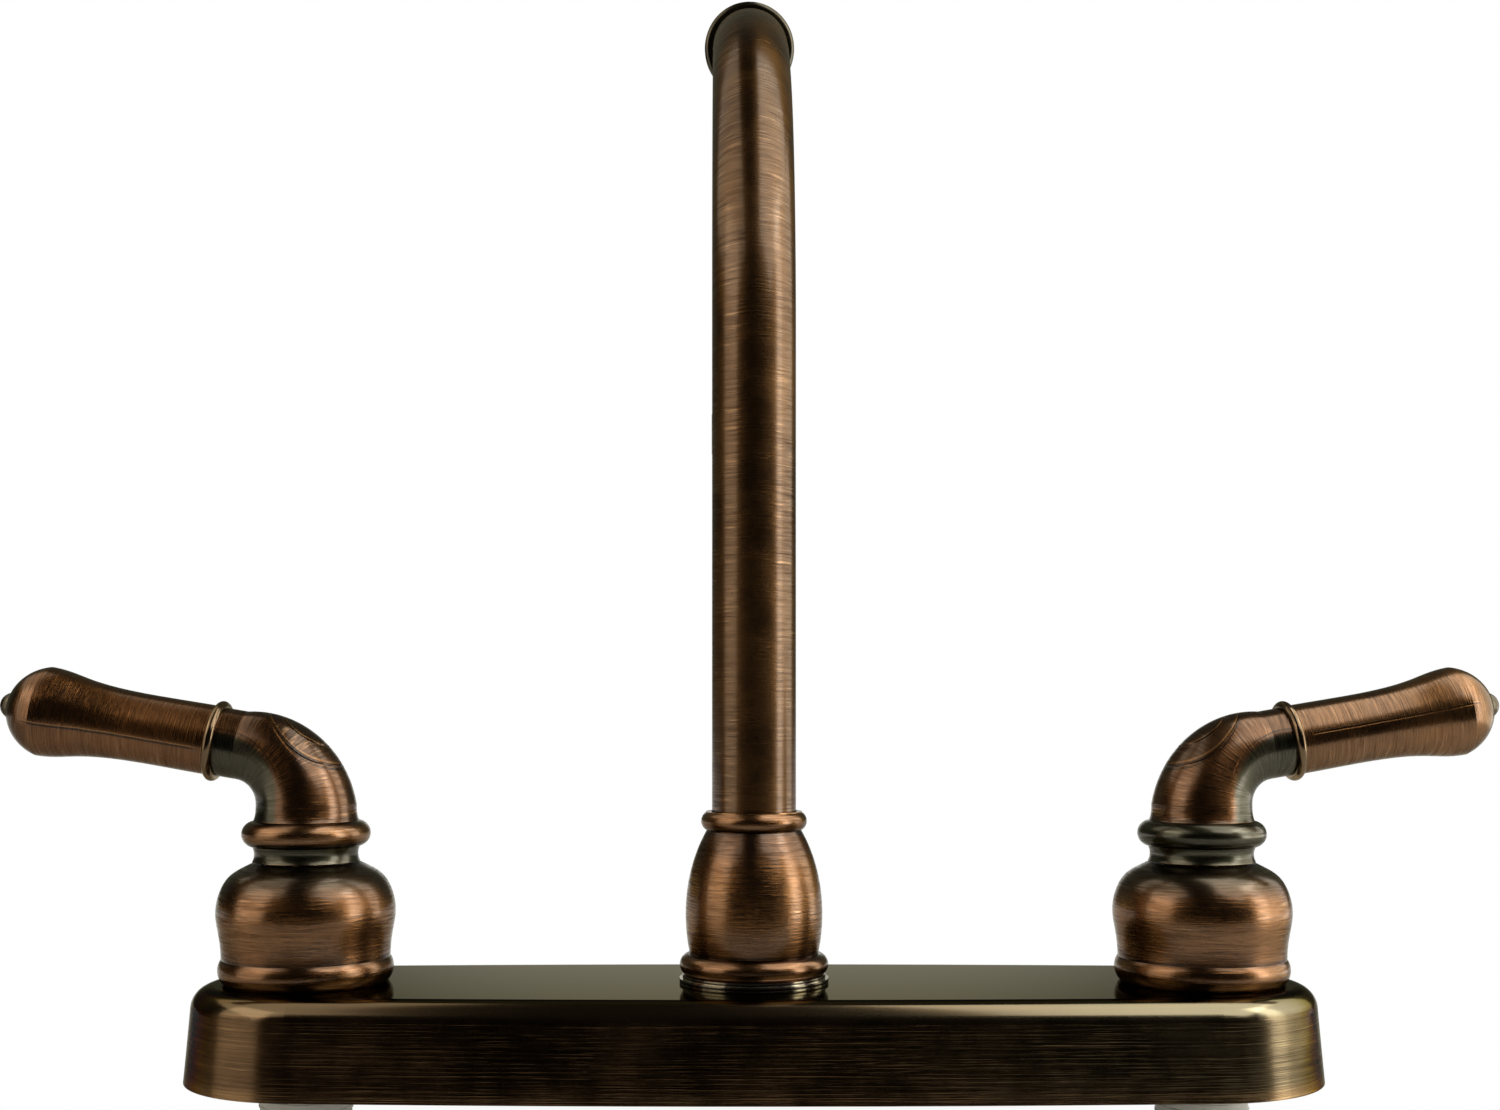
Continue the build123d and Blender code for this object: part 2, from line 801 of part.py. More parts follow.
def make_spout_ferrule():
    with BuildPart() as ferrule:
        with BuildSketch(level(0, ferrule_flange_bottom - plug_length)):
            Circle(plug_radius)
        extrude(amount=plug_length)
        with BuildSketch(level(0, ferrule_flange_bottom)):
            Circle(ferrule_flange_radius)
        extrude(amount=ferrule_flange_height)
        with BuildSketch(level(0, spout_bottom)):
            Circle(spout_radius - spout_wall - seating_gap)
        extrude(amount=ferrule_spigot_length)
        for height in plug_ring_heights():
            with BuildSketch(level(0, height - o_ring_groove_width / 2)):
                Circle(plug_radius + thread_gap)
                Circle(groove_floor(post_bore_radius), mode=Mode.SUBTRACT)
            extrude(amount=o_ring_groove_width, mode=Mode.SUBTRACT)
        with BuildSketch(level(0, ferrule_flange_bottom - plug_length)):
            Circle(ferrule_bore)
        extrude(amount=plug_length + ferrule_flange_height + ferrule_spigot_length, mode=Mode.SUBTRACT)
    return ferrule.part


def make_spout_o_rings():
    with BuildPart() as rings:
        for height in plug_ring_heights():
            add(o_ring(level(0, height), plug_radius, post_bore_radius))
    return rings.part


def make_base_ring():
    bore = post_radius + hole_gap
    with BuildPart() as ring:
        with BuildSketch(level(0, deck_top)):
            Circle(base_ring_radius)
        extrude(amount=base_ring_lower)
        with BuildSketch(level(0, deck_top + base_ring_lower)):
            Circle(base_ring_radius - base_ring_step)
        extrude(amount=base_ring_upper)
        with BuildSketch(level(0, deck_top)):
            Circle(bore)
        extrude(amount=base_ring_lower + base_ring_upper, mode=Mode.SUBTRACT)
    return ring.part


def make_spout_nut():
    bottom = base_ring_top
    thread_radius = post_radius + thread_gap
    throat_radius = spout_radius + nut_throat_gap
    with BuildPart() as nut:
        with BuildSketch(upright(0)):
            with BuildLine():
                ThreePointArc(
                    (nut_foot_radius, bottom),
                    (nut_bead_radius, bottom + nut_bead_height / 2),
                    (nut_waist_radius, bottom + nut_bead_height),
                )
                Spline(
                    (nut_waist_radius, bottom + nut_bead_height),
                    (nut_belly_radius, bottom + nut_belly_height),
                    (nut_shoulder_radius, bottom + nut_shoulder_height),
                    (nut_neck_radius, bottom + nut_neck_height),
                )
                ThreePointArc(
                    (nut_neck_radius, bottom + nut_neck_height),
                    (nut_lip_radius, (bottom + nut_neck_height + bottom + nut_lip_height) / 2),
                    (nut_crown_radius, bottom + nut_lip_height),
                )
                Polyline(
                    (nut_crown_radius, bottom + nut_lip_height),
                    (nut_crown_radius, bottom + spout_nut_height),
                    (throat_radius, bottom + spout_nut_height),
                    (throat_radius, bottom + nut_throat_height),
                    (thread_radius, bottom + nut_throat_height),
                    (thread_radius, bottom),
                    (nut_foot_radius, bottom),
                )
            make_face()
        revolve(axis=Axis.Z)
    return nut.part


def make_aerator_housing():
    bore = spout_radius + seating_gap
    with BuildPart() as housing:
        with BuildSketch(across_spout(bend_turn, spout_tail - aerator_overlap)):
            Circle(aerator_radius)
        extrude(amount=aerator_overlap + aerator_length)
        fillet(housing.edges(), aerator_edge_round)
        with BuildSketch(across_spout(bend_turn, spout_tail - aerator_overlap)):
            Circle(bore)
        extrude(amount=aerator_overlap + aerator_length - aerator_lip, mode=Mode.SUBTRACT)
        with BuildSketch(across_spout(bend_turn, spout_tail)):
            Circle(aerator_lip_radius)
        extrude(amount=aerator_length, mode=Mode.SUBTRACT)
    return housing.part


def make_aerator_insert():
    start = spout_tail + aerator_washer
    length = aerator_length - aerator_lip - aerator_washer
    with BuildPart() as insert:
        with BuildSketch(across_spout(bend_turn, start)):
            Circle(spout_radius - insert_gap)
            Circle(jet_radius, mode=Mode.SUBTRACT)
            for ring in range(1, jet_rings + 1):
                with PolarLocations(ring * jet_spacing, jets_in_first_ring * ring):
                    Circle(jet_radius, mode=Mode.SUBTRACT)
        extrude(amount=length - jet_recess)
        with BuildSketch(across_spout(bend_turn, start + length - jet_recess)):
            Circle(spout_radius - insert_gap)
            Circle((jet_rings + 1) * jet_spacing - jet_radius, mode=Mode.SUBTRACT)
        extrude(amount=jet_recess)
    return insert.part


# ---- Every piece, one file each ----

save(make_deck_cover(), "deck_cover")
save(make_base_gasket(), "base_gasket")
save(make_centre_body(), "centre_body")

for side, name in ((-1, "left"), (1, "right")):
    valve_x = side * valve_spacing / 2
    save(make_valve_body(valve_x, side), f"{name}_valve_body")
    save(make_crossover_tube(side), f"{name}_crossover_tube")
    save(sleeve(level(valve_x, nut_top), washer_radius, shank_radius + hole_gap, washer_thickness),
         f"{name}_mounting_washer")
    save(make_mounting_nut(valve_x), f"{name}_mounting_nut")
    save(make_hub_cover(valve_x), f"{name}_hub_cover")
    save(make_cartridge_body(valve_x, side), f"{name}_cartridge_body")
    save(sleeve(level(valve_x, chamber_floor), cartridge_lower_bore - cartridge_gap, seal_bore,
                seal_thickness), f"{name}_seat_seal")
    save(make_valve_disc(level(valve_x, fixed_disc_bottom)), f"{name}_fixed_disc")
    save(make_valve_disc(lever_level(valve_x, side, turning_disc_bottom)), f"{name}_turning_disc")
    save(make_cartridge_stem(valve_x, side), f"{name}_cartridge_stem")
    save(o_ring(level(valve_x, stem_ring_height), stem_radius, stem_radius + running_gap),
         f"{name}_stem_o_ring")
    elbow_blank = make_elbow_blank(valve_x, side)
    inner_blank = make_elbow_blank(valve_x, side, shrink=cap_ring_depth)
    save(make_elbow(valve_x, side, elbow_blank), f"{name}_lever_elbow")
    save(make_elbow_cap(valve_x, elbow_blank, inner_blank), f"{name}_elbow_cap")
    save(make_handle_screw(valve_x, side), f"{name}_handle_screw")
    save(make_lever_ring(valve_x, side), f"{name}_lever_ring")
    save(make_grip(valve_x, side), f"{name}_lever_grip")

save(make_spout_tube(), "spout_tube")
save(make_spout_collar(), "spout_collar")
save(make_spout_ferrule(), "spout_ferrule")
save(make_spout_o_rings(), "spout_o_rings")
save(sleeve(level(0, bushing_bottom), post_radius, spout_radius + running_gap, bushing_top - bushing_bottom),
     "spout_bushing")
save(make_base_ring(), "spout_base_ring")
save(make_spout_nut(), "spout_nut")
save(make_aerator_housing(), "aerator_housing")
save(sleeve(across_spout(bend_turn, spout_tail), spout_radius - insert_gap, aerator_washer_bore,
            aerator_washer), "aerator_washer")
save(make_aerator_insert(), "aerator_insert")
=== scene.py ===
import bmesh
import bpy
import json
from math import radians
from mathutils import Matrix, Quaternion, Vector


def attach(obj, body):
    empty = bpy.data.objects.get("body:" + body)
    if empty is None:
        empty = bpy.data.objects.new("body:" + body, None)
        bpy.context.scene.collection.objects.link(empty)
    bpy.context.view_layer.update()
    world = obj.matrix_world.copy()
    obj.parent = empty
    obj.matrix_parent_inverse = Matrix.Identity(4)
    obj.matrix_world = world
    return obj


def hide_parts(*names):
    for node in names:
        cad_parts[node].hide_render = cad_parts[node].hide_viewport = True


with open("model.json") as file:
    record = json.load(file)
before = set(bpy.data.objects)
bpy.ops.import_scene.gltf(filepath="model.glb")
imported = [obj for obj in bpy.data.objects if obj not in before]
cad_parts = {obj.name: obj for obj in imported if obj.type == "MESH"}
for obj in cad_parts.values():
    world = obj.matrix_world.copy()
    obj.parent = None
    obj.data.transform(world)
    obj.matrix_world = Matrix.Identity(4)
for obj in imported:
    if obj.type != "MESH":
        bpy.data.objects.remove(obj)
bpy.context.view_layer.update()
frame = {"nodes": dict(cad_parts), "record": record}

# Sizes in metres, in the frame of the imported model.
VALVE_X = 0.1016
FLOOR_Z = -0.0482
SPOUT_BEND_START = 0.1696
SPOUT_BEND_RADIUS = 0.090
LEVER_RISE = radians(9.8)
LEVER_TURNED = {-1: 0.0, 1: radians(4.0)}   # left and right lever, as they stand at rest
LEVER_END_X = 0.01442       # where the lever's straight run starts, out from the valve's axis
LEVER_END_Z = 0.0748
ELBOW_BASE = 0.0616
ELBOW_BEND = 0.01675        # radius of the elbow's centre line
CAP_RADIUS = 0.00815
CAP_RING_RADIUS = 0.0049
MARK_DEPTH = 0.0002         # depth that full relief of a finish stands for, in the Bump nodes

# The supply shanks and their thread.
SHANK_BOTTOM = -0.048
SHANK_TOP = 0.001
SHANK_RADIUS = 0.01048
THREAD_ROOT = 0.0097
THREAD_PITCH = 0.001814     # half inch pipe thread
THREAD_RELIEF = (-0.029, -0.028)   # heights between which the shank has no thread
TOOTH_FOOT = 0.86           # width of a thread ridge at its foot and at its crest, as shares of the pitch
TOOTH_CREST = 0.22
TOOTH_SUNK = 1.2            # height of a ridge as a share of the thread's depth: its foot is in the shank

# Heights in millimetres between which a finish changes, or where a band of painted shade or painted highlight
# lies: low, high, and the width of the soft edge.
# The base ring's step and top edges, where bands of painted highlight go.
BASE_RING_STEP = (22.00, 22.40, 0.06)
BASE_RING_TOP = (22.78, 23.20, 0.06)
BASE_RING_WALL = (21.0, 23.4, 0.1)
NUT_FOOT_BEAD = (23.4, 27.0, 0.5)
NUT_FOOT = (22.0, 28.0, 0.4)
NUT_FOOT_GROOVE = (27.5, 28.6, 0.4)
NUT_BELLY = (30.0, 48.0, 6.0)
NUT_SHOULDER = (50.0, 56.0, 2.0)
NUT_TOP_GROOVE = (54.6, 56.0, 0.4)
NUT_TOP_BEAD = (56.2, 59.8, 0.5)
HUB_FOOT_BEAD = (21.5, 26.4, 0.5)
HUB_FOOT = (21.0, 27.0, 0.4)
HUB_FOOT_GROOVE = (26.7, 27.6, 0.3)
HUB_BELLY = (29.0, 41.0, 4.0)
HUB_SHOULDER = (42.0, 48.6, 2.5)
HUB_TOP = (43.5, 49.5, 3.0)
HUB_MOUTH = (47.2, 48.6, 0.5)
ELBOW_NECK_GROOVE = (52.2, 53.0, 0.3)
ELBOW_BEAD = (53.2, 57.0, 0.6)
ELBOW_BEAD_GROOVE = (57.6, 58.8, 0.5)
ELBOW_NECK = {-1: (48.0, 52.8, 0.5), 1: (48.0, 57.8, 0.5)}   # on the right it takes in the bead
LEVER_RING_ALL = (50.0, 99.0, 1.0)
COLLAR_ALL = (250.0, 275.0, 2.0)

# Colours as linear values.
OIL_DARK = (0.030, 0.0125, 0.0045, 1)
BRONZE = (0.205, 0.086, 0.028, 1)
COPPER = (0.56, 0.285, 0.110, 1)
PATINA = (0.037, 0.045, 0.029, 1)
PATINA_DARK = tuple(part * 0.62 for part in PATINA[:3]) + (1,)
SPOUT_BRONZE = (0.155, 0.078, 0.029, 1)
BASE_RING_DARK = (0.040, 0.028, 0.018, 1)
# Near-white painted highlight on the base ring's edges.
BASE_RING_PAINTED_HIGHLIGHT = (0.92, 0.86, 0.80, 1)
ELBOW_BRONZE = (0.165, 0.072, 0.026, 1)
# The caps' bronze is darker than the elbows': painted shade on the caps, which face the top lamps.
CAP_BRONZE = (0.108, 0.054, 0.024, 1)
LEVER_RING_BRONZE = (0.24, 0.155, 0.075, 1)
# The right grip's bronze is lighter and paler than the left's: painted light from the right-hand lamps.
GRIP_BRONZE = {-1: (0.232, 0.097, 0.031, 1), 1: (0.270, 0.126, 0.046, 1)}
BRONZE_RIM_TINT = (0.40, 0.38, 0.28, 1)     # reflection at a grazing angle
DECK_DARK = (0.024, 0.015, 0.008, 1)
# The deck's right-hand colours are paler and lighter than the left-hand ones: painted light from the
# right-hand lamps.
DECK_LEFT = (0.155, 0.092, 0.048, 1)
DECK_RIGHT = (0.165, 0.128, 0.074, 1)
DECK_RUBBED = (0.36, 0.22, 0.11, 1)
# Rim colours are a painted highlight; top colours are a painted reflection, darker and olive.
DECK_RIM_LEFT = (0.160, 0.118, 0.072, 1)
DECK_RIM_RIGHT = (0.205, 0.182, 0.123, 1)
DECK_TOP_DARK = (0.075, 0.062, 0.038, 1)
DECK_TOP_OLIVE = (0.105, 0.088, 0.047, 1)
DECK_RIM_TINT = (0.22, 0.20, 0.112, 1)
BACKDROP = (1, 1, 1, 1)
ROOM_FRONT = (0.011, 0.0105, 0.009, 1)
ROOM_BACK = (0.15, 0.155, 0.12, 1)
FLOOR_GREY = (0.52, 0.52, 0.52, 1)
PALE_LIGHT = (1.0, 0.97, 0.86)
WARM_LIGHT = (1.0, 0.90, 0.72)


# ---- Node tools ----

def feed(tree, socket, value):
    """Link an output to a socket, or set the socket's own value."""
    if isinstance(value, bpy.types.NodeSocket):
        tree.links.new(value, socket)
    else:
        socket.default_value = value


def add_node(tree, kind, inputs=None, **settings):
    made = tree.nodes.new(kind)
    for name, value in settings.items():
        setattr(made, name, value)
    for name, value in (inputs or {}).items():
        feed(tree, made.inputs[name], value)
    return made


def maths(tree, operation, *values, clamp=False):
    made = tree.nodes.new("ShaderNodeMath")
    made.operation = operation
    made.use_clamp = clamp
    for socket, value in zip(made.inputs, values):
        feed(tree, socket, value)
    return made.outputs[0]


def vector_maths(tree, operation, *values):
    made = tree.nodes.new("ShaderNodeVectorMath")
    made.operation = operation
    for socket, value in zip(made.inputs, values):
        feed(tree, socket, value)
    return made.outputs[0]


def split(tree, vector):
    return add_node(tree, "ShaderNodeSeparateXYZ", {"Vector": vector}).outputs


def smooth_range(tree, value, low, high, start=0.0, end=1.0):
    made = add_node(tree, "ShaderNodeMapRange", interpolation_type="SMOOTHSTEP")
    for name, given in (("Value", value), ("From Min", low), ("From Max", high), ("To Min", start),
                        ("To Max", end)):
        feed(tree, made.inputs[name], given)
    return made.outputs["Result"]


def mix_colour(tree, amount, first, second):
    made = add_node(tree, "ShaderNodeMix", data_type="RGBA")
    feed(tree, made.inputs[0], amount)
    feed(tree, made.inputs[6], first)
    feed(tree, made.inputs[7], second)
    return made.outputs[2]


def mix_value(tree, amount, first, second):
    made = add_node(tree, "ShaderNodeMix", data_type="FLOAT")
    feed(tree, made.inputs[0], amount)
    feed(tree, made.inputs[2], first)
    feed(tree, made.inputs[3], second)
    return made.outputs[0]


def radius_of(tree, parts):
    """Distance from local Z."""
    level_part = add_node(tree, "ShaderNodeCombineXYZ", {"X": parts["X"], "Y": parts["Y"]}).outputs[0]
    return add_node(tree, "ShaderNodeVectorMath", {0: level_part}, operation="LENGTH").outputs["Value"]


def noise(tree, vector, scale=1.0, detail=2.0, roughness=0.5):
    made = add_node(tree, "ShaderNodeTexNoise",
                    {"Vector": vector, "Scale": scale, "Detail": detail, "Roughness": roughness})
    return made.outputs["Fac"]


def highest(tree, values):
    result = values[0]
    for value in values[1:]:
        result = maths(tree, "MAXIMUM", result, value)
    return result


def new_group(name, inputs, outputs):
    """Shader node group with named sockets. Returns the group, its inputs and its outputs."""
    group = bpy.data.node_groups.new(name, "ShaderNodeTree")
    for label, kind, value in inputs:
        socket = group.interface.new_socket(label, in_out="INPUT", socket_type="NodeSocket" + kind)
        if value is not None:
            socket.default_value = value
    for label, kind in outputs:
        group.interface.new_socket(label, in_out="OUTPUT", socket_type="NodeSocket" + kind)
    start = group.nodes.new("NodeGroupInput")
    end = group.nodes.new("NodeGroupOutput")
    return group, start.outputs, end.inputs


def use_group(tree, group, **inputs):
    made = tree.nodes.new("ShaderNodeGroup")
    made.node_tree = group
    for name, value in inputs.items():
        feed(tree, made.inputs[name], value)
    return made.outputs


# ---- Shared effects ----

def make_brush_marks():
    """Fine lines that run along local X and Y and change quickly along local Z."""
    group, given, result = new_group(
        "brush_marks",
        [("Vector", "Vector", None), ("Lines", "Float", 2200.0), ("Length", "Float", 70.0),
         ("Contrast", "Float", 1.6)],
        [("Marks", "Float")],
    )
    fine_share, broad_share = 0.8, 0.2
    faint, strong = 0.55, 1.25
    stretch = add_node(group, "ShaderNodeCombineXYZ",
                       {"X": given["Length"], "Y": given["Length"], "Z": given["Lines"]}).outputs[0]
    lines = vector_maths(group, "MULTIPLY", given["Vector"], stretch)
    fine = noise(group, lines, 1.0, 3.0, 0.65)
    broad = noise(group, lines, 0.27, 2.0, 0.6)
    patches = noise(group, given["Vector"], 130.0, 2.0, 0.5)
    both = maths(group, "ADD", maths(group, "MULTIPLY", fine, fine_share),
                 maths(group, "MULTIPLY", broad, broad_share))
    centred = maths(group, "SUBTRACT", both, 0.5)
    strength = maths(group, "MULTIPLY", given["Contrast"],
                     smooth_range(group, patches, 0.3, 0.7, faint, strong))
    feed(group, result["Marks"], maths(group, "MULTIPLY_ADD", centred, strength, 0.5, clamp=True))
    return group


def make_height_band():
    """1 between two heights, with soft ends."""
    group, given, result = new_group(
        "height_band",
        [("Height", "Float", 0.0), ("Low", "Float", 0.0), ("High", "Float", 1.0), ("Soft", "Float", 0.0005)],
        [("Mask", "Float")],
    )
    rise = smooth_range(group, given["Height"], maths(group, "SUBTRACT", given["Low"], given["Soft"]),
                        maths(group, "ADD", given["Low"], given["Soft"]))
    fall = smooth_range(group, given["Height"], maths(group, "SUBTRACT", given["High"], given["Soft"]),
                        maths(group, "ADD", given["High"], given["Soft"]), 1.0, 0.0)
    feed(group, result["Mask"], maths(group, "MULTIPLY", rise, fall))
    return group


def make_edge_wear():
    """1 on edges, where handling has rubbed the dark finish away."""
    group, given, result = new_group(
        "edge_wear",
        [("Radius", "Float", 0.0006), ("Vector", "Vector", None)],
        [("Mask", "Float")],
    )
    level, bent = 0.985, 0.90       # agreement of the rounded normal with the real one
    rounded = add_node(group, "ShaderNodeBevel", {"Radius": given["Radius"]}, samples=6).outputs[0]
    flat = add_node(group, "ShaderNodeNewGeometry").outputs["Normal"]
    agreement = add_node(group, "ShaderNodeVectorMath", {0: rounded, 1: flat}, operation="DOT_PRODUCT")
    turned = smooth_range(group, agreement.outputs["Value"], level, bent)
    broken = smooth_range(group, noise(group, given["Vector"], 700.0, 3.0, 0.6), 0.3, 0.6, 0.35, 1.0)
    feed(group, result["Mask"], maths(group, "MULTIPLY", turned, broken))
    return group


def make_rubbed_bronze():
    """Colour and roughness of copper-coloured metal under a dark, partly rubbed finish. The rubbed share also
    carries bands of painted highlight, and the darkened share is painted shade.
    """
    group, given, result = new_group(
        "rubbed_bronze",
        [("Vector", "Vector", None), ("Marks", "Float", 0.5), ("Wear", "Float", 0.0), ("Grime", "Float", 0.0),
         ("Dark", "Color", OIL_DARK), ("Metal", "Color", BRONZE), ("Bright", "Color", COPPER),
         ("Smooth", "Float", 0.24), ("Rough", "Float", 0.42)],
        [("Color", "Color"), ("Roughness", "Float")],
    )
    bared_by_marks, bared_by_cloud, line_shine = 0.75, 0.35, 0.3
    painted_shade_cover, speck_cover = 0.85, 0.8
    cloud = smooth_range(group, noise(group, given["Vector"], 55.0, 4.0, 0.6), 0.3, 0.7)
    uncovered = maths(group, "ADD", maths(group, "MULTIPLY", given["Marks"], bared_by_marks),
                      maths(group, "MULTIPLY", cloud, bared_by_cloud), clamp=True)
    colour = mix_colour(group, uncovered, given["Dark"], given["Metal"])
    lit_lines = maths(group, "MULTIPLY", smooth_range(group, given["Marks"], 0.66, 1.0), line_shine)
    shine = maths(group, "MAXIMUM", given["Wear"], lit_lines)
    colour = mix_colour(group, shine, colour, given["Bright"])
    # Painted shade: grooves and shoulders darkened towards the dark finish.
    colour = mix_colour(group, maths(group, "MULTIPLY", given["Grime"], painted_shade_cover), colour, given["Dark"])
    specks = smooth_range(group, noise(group, given["Vector"], 900.0, 2.0, 0.5), 0.74, 0.80)
    colour = mix_colour(group, maths(group, "MULTIPLY", specks, speck_cover), colour, given["Dark"])
    rough = smooth_range(group, given["Marks"], 0.1, 0.9, given["Rough"], given["Smooth"])
    rough = maths(group, "MULTIPLY", rough, smooth_range(group, cloud, 0.0, 1.0, 0.88, 1.12))
    feed(group, result["Color"], colour)
    feed(group, result["Roughness"], rough)
    return group


def make_along_bend():
    """Position seen along a tube that rises from the origin and bends towards local +Y: X across it,
    Y towards the inside of its bend, Z the length of its centre line."""
    group, given, result = new_group(
        "along_bend",
        [("Vector", "Vector", None), ("Start", "Float", 0.0), ("Radius", "Float", 0.1)],
        [("Vector", "Vector"), ("Inward", "Float"), ("Length", "Float")],
    )
    parts = split(group, given["Vector"])
    above = maths(group, "MAXIMUM", maths(group, "SUBTRACT", parts["Z"], given["Start"]), 0.0)
    to_centre = maths(group, "SUBTRACT", given["Radius"], parts["Y"])
    angle = maths(group, "ARCTAN2", above, to_centre)
    straight = maths(group, "MINIMUM", parts["Z"], given["Start"])
    length = maths(group, "MULTIPLY_ADD", angle, given["Radius"], straight)
    distance = maths(group, "SQRT", maths(group, "ADD", maths(group, "POWER", above, 2.0),
                                          maths(group, "MULTIPLY", to_centre, to_centre)))
    inward = maths(group, "SUBTRACT", given["Radius"], distance)
    joined = add_node(group, "ShaderNodeCombineXYZ", {"X": parts["X"], "Y": inward, "Z": length})
    feed(group, result["Vector"], joined.outputs[0])
    feed(group, result["Inward"], inward)
    feed(group, result["Length"], length)
    return group


def make_ring_line():
    """1 on a thin ring round local Z, above a height."""
    group, given, result = new_group(
        "ring_line",
        [("Vector", "Vector", None), ("Radius", "Float", 0.005), ("Width", "Float", 0.0003),
         ("Above", "Float", 0.0)],
        [("Mask", "Float")],
    )
    parts = split(group, given["Vector"])
    off = maths(group, "ABSOLUTE", maths(group, "SUBTRACT", radius_of(group, parts), given["Radius"]))
    near = smooth_range(group, off, maths(group, "MULTIPLY", given["Width"], 0.3), given["Width"], 1.0, 0.0)
    high = maths(group, "GREATER_THAN", parts["Z"], given["Above"])
    feed(group, result["Mask"], maths(group, "MULTIPLY", near, high))
    return group


brush_marks = make_brush_marks()
height_band = make_height_band()
edge_wear = make_edge_wear()
rubbed_bronze = make_rubbed_bronze()
along_bend = make_along_bend()
ring_line = make_ring_line()


# ---- Places on the pieces ----

def mapped(tree, place, location=(0, 0, 0), rotation=(0, 0, 0)):
    return add_node(tree, "ShaderNodeMapping",
                    {"Vector": place, "Location": location, "Rotation": rotation}).outputs[0]


def lever_frame(tree, place, side):
    """Position round a valve's axis, turned so that the lever at rest points along local +Y."""
    centred = mapped(tree, place, location=(-side * VALVE_X, 0, 0))
    return mapped(tree, centred, rotation=(0, 0, side * radians(90) - LEVER_TURNED[side]))


def grip_frame(tree, place, side):
    """Position along a lever's straight run: X across it, Y down, Z out along it."""
    local = mapped(tree, lever_frame(tree, place, side), location=(0, -LEVER_END_X, -LEVER_END_Z))
    return mapped(tree, local, rotation=(radians(90) - LEVER_RISE, 0, 0))


def elbow_frame(tree, place, side):
    return use_group(tree, along_bend, Vector=lever_frame(tree, place, side), Start=ELBOW_BASE,
                     Radius=ELBOW_BEND)


def along_spout(tree, place):
    return use_group(tree, along_bend, Vector=place, Start=SPOUT_BEND_START,
                     Radius=SPOUT_BEND_RADIUS)["Vector"]


# ---- Materials ----

def new_material(name):
    material = bpy.data.materials.new(name)
    material.use_nodes = True
    tree = material.node_tree
    shader = tree.nodes["Principled BSDF"]
    place = add_node(tree, "ShaderNodeTexCoord").outputs["Object"]
    return material, tree, shader, place


def dress(tree, shader, colour, roughness, depth, strength):
    """Feed what every finish has: its colour, its roughness and its fine relief."""
    bump = add_node(tree, "ShaderNodeBump", {"Height": depth, "Strength": strength, "Distance": MARK_DEPTH})
    feed(tree, shader.inputs["Base Color"], colour)
    feed(tree, shader.inputs["Roughness"], roughness)
    feed(tree, shader.inputs["Normal"], bump.outputs[0])


def bronze(name, grain=None, zones=None, lines=2400.0, length=130.0, contrast=2.6, worn_and_highlight_bands=(),
           painted_shade_bands=(), patina_bands=(), polished_bands=(), smooth=0.20, rough=0.33, line_depth=0.30,
           wear=0.6, metal=BRONZE, bright=COPPER):
    """Brushed bronze. Each band is a pair: its heights and its strength. The grain's function gives the
    position that the brush lines follow, and the zones' function masks of the piece's own."""
    cut_cover, cut_depth = 0.85, 1.5
    softened_by_patina, sharpened_by_polish = 0.5, -0.35
    film_between_lines, film_on_lines, film_on_polish = 0.14, 0.55, 0.28
    material, tree, shader, place = new_material(name)
    heights = split(tree, place)["Z"]
    followed = grain(tree, place) if grain else place
    marks = use_group(tree, brush_marks, Vector=followed, Lines=lines, Length=length,
                      Contrast=contrast)["Marks"]
    own = zones(tree, place) if zones else {}

    def banded(kind, bands=()):
        found = []
        for (low, high, soft), strength in bands:
            mask = use_group(tree, height_band, Height=heights, Low=low / 1000, High=high / 1000,
                             Soft=soft / 1000)["Mask"]
            found.append(maths(tree, "MULTIPLY", mask, strength))
        found += own.get(kind, [])
        return highest(tree, found) if found else 0.0

    rubbed = maths(tree, "MULTIPLY", use_group(tree, edge_wear, Vector=place)["Mask"], wear)
    # Bands of rubbed copper; on the base ring, bands of painted highlight.
    copper = maths(tree, "MULTIPLY", banded("copper", worn_and_highlight_bands),
                   maths(tree, "MULTIPLY_ADD", marks, 0.6, 0.4))
    # Painted shade in the grooves and on the shoulders.
    grime = banded("grime", painted_shade_bands)
    patina = banded("patina", patina_bands)
    polish = maths(tree, "MAXIMUM", banded("polish", polished_bands), patina)
    finish = use_group(tree, rubbed_bronze, Vector=place, Marks=marks,
                       Wear=maths(tree, "MAXIMUM", rubbed, copper), Grime=grime, Metal=metal, Bright=bright,
                       Smooth=smooth, Rough=rough)
    aged = mix_colour(tree, noise(tree, place, 240.0, 3.0, 0.6), PATINA, PATINA_DARK)
    colour = mix_colour(tree, patina, finish["Color"], aged)
    # Painted highlights: glints beside the grips' mould lines and inside the caps' rings.
    colour = mix_colour(tree, banded("glint"), colour, bright)
    cut = banded("cut")
    colour = mix_colour(tree, maths(tree, "MULTIPLY", cut, cut_cover), colour, OIL_DARK)
    brushed = maths(tree, "MULTIPLY", marks, maths(tree, "SUBTRACT", 1.0, polish))
    depth = maths(tree, "SUBTRACT", brushed, maths(tree, "MULTIPLY", cut, cut_depth))
    softer = maths(tree, "MULTIPLY_ADD", patina, softened_by_patina,
                   maths(tree, "MULTIPLY_ADD", polish, sharpened_by_polish, 1.0))
    roughness = maths(tree, "MULTIPLY", finish["Roughness"], softer)
    dress(tree, shader, colour, roughness, depth, line_depth)
    film = maths(tree, "MULTIPLY_ADD", marks, film_on_lines, film_between_lines)
    film = maths(tree, "MAXIMUM", film, maths(tree, "MULTIPLY", polish, film_on_polish))
    feed(tree, shader.inputs["Coat Weight"], film)
    shader.inputs["Metallic"].default_value = 1.0
    shader.inputs["Specular Tint"].default_value = BRONZE_RIM_TINT
    shader.inputs["Coat Roughness"].default_value = 0.20
    shader.inputs["Coat IOR"].default_value = 1.75
    return material


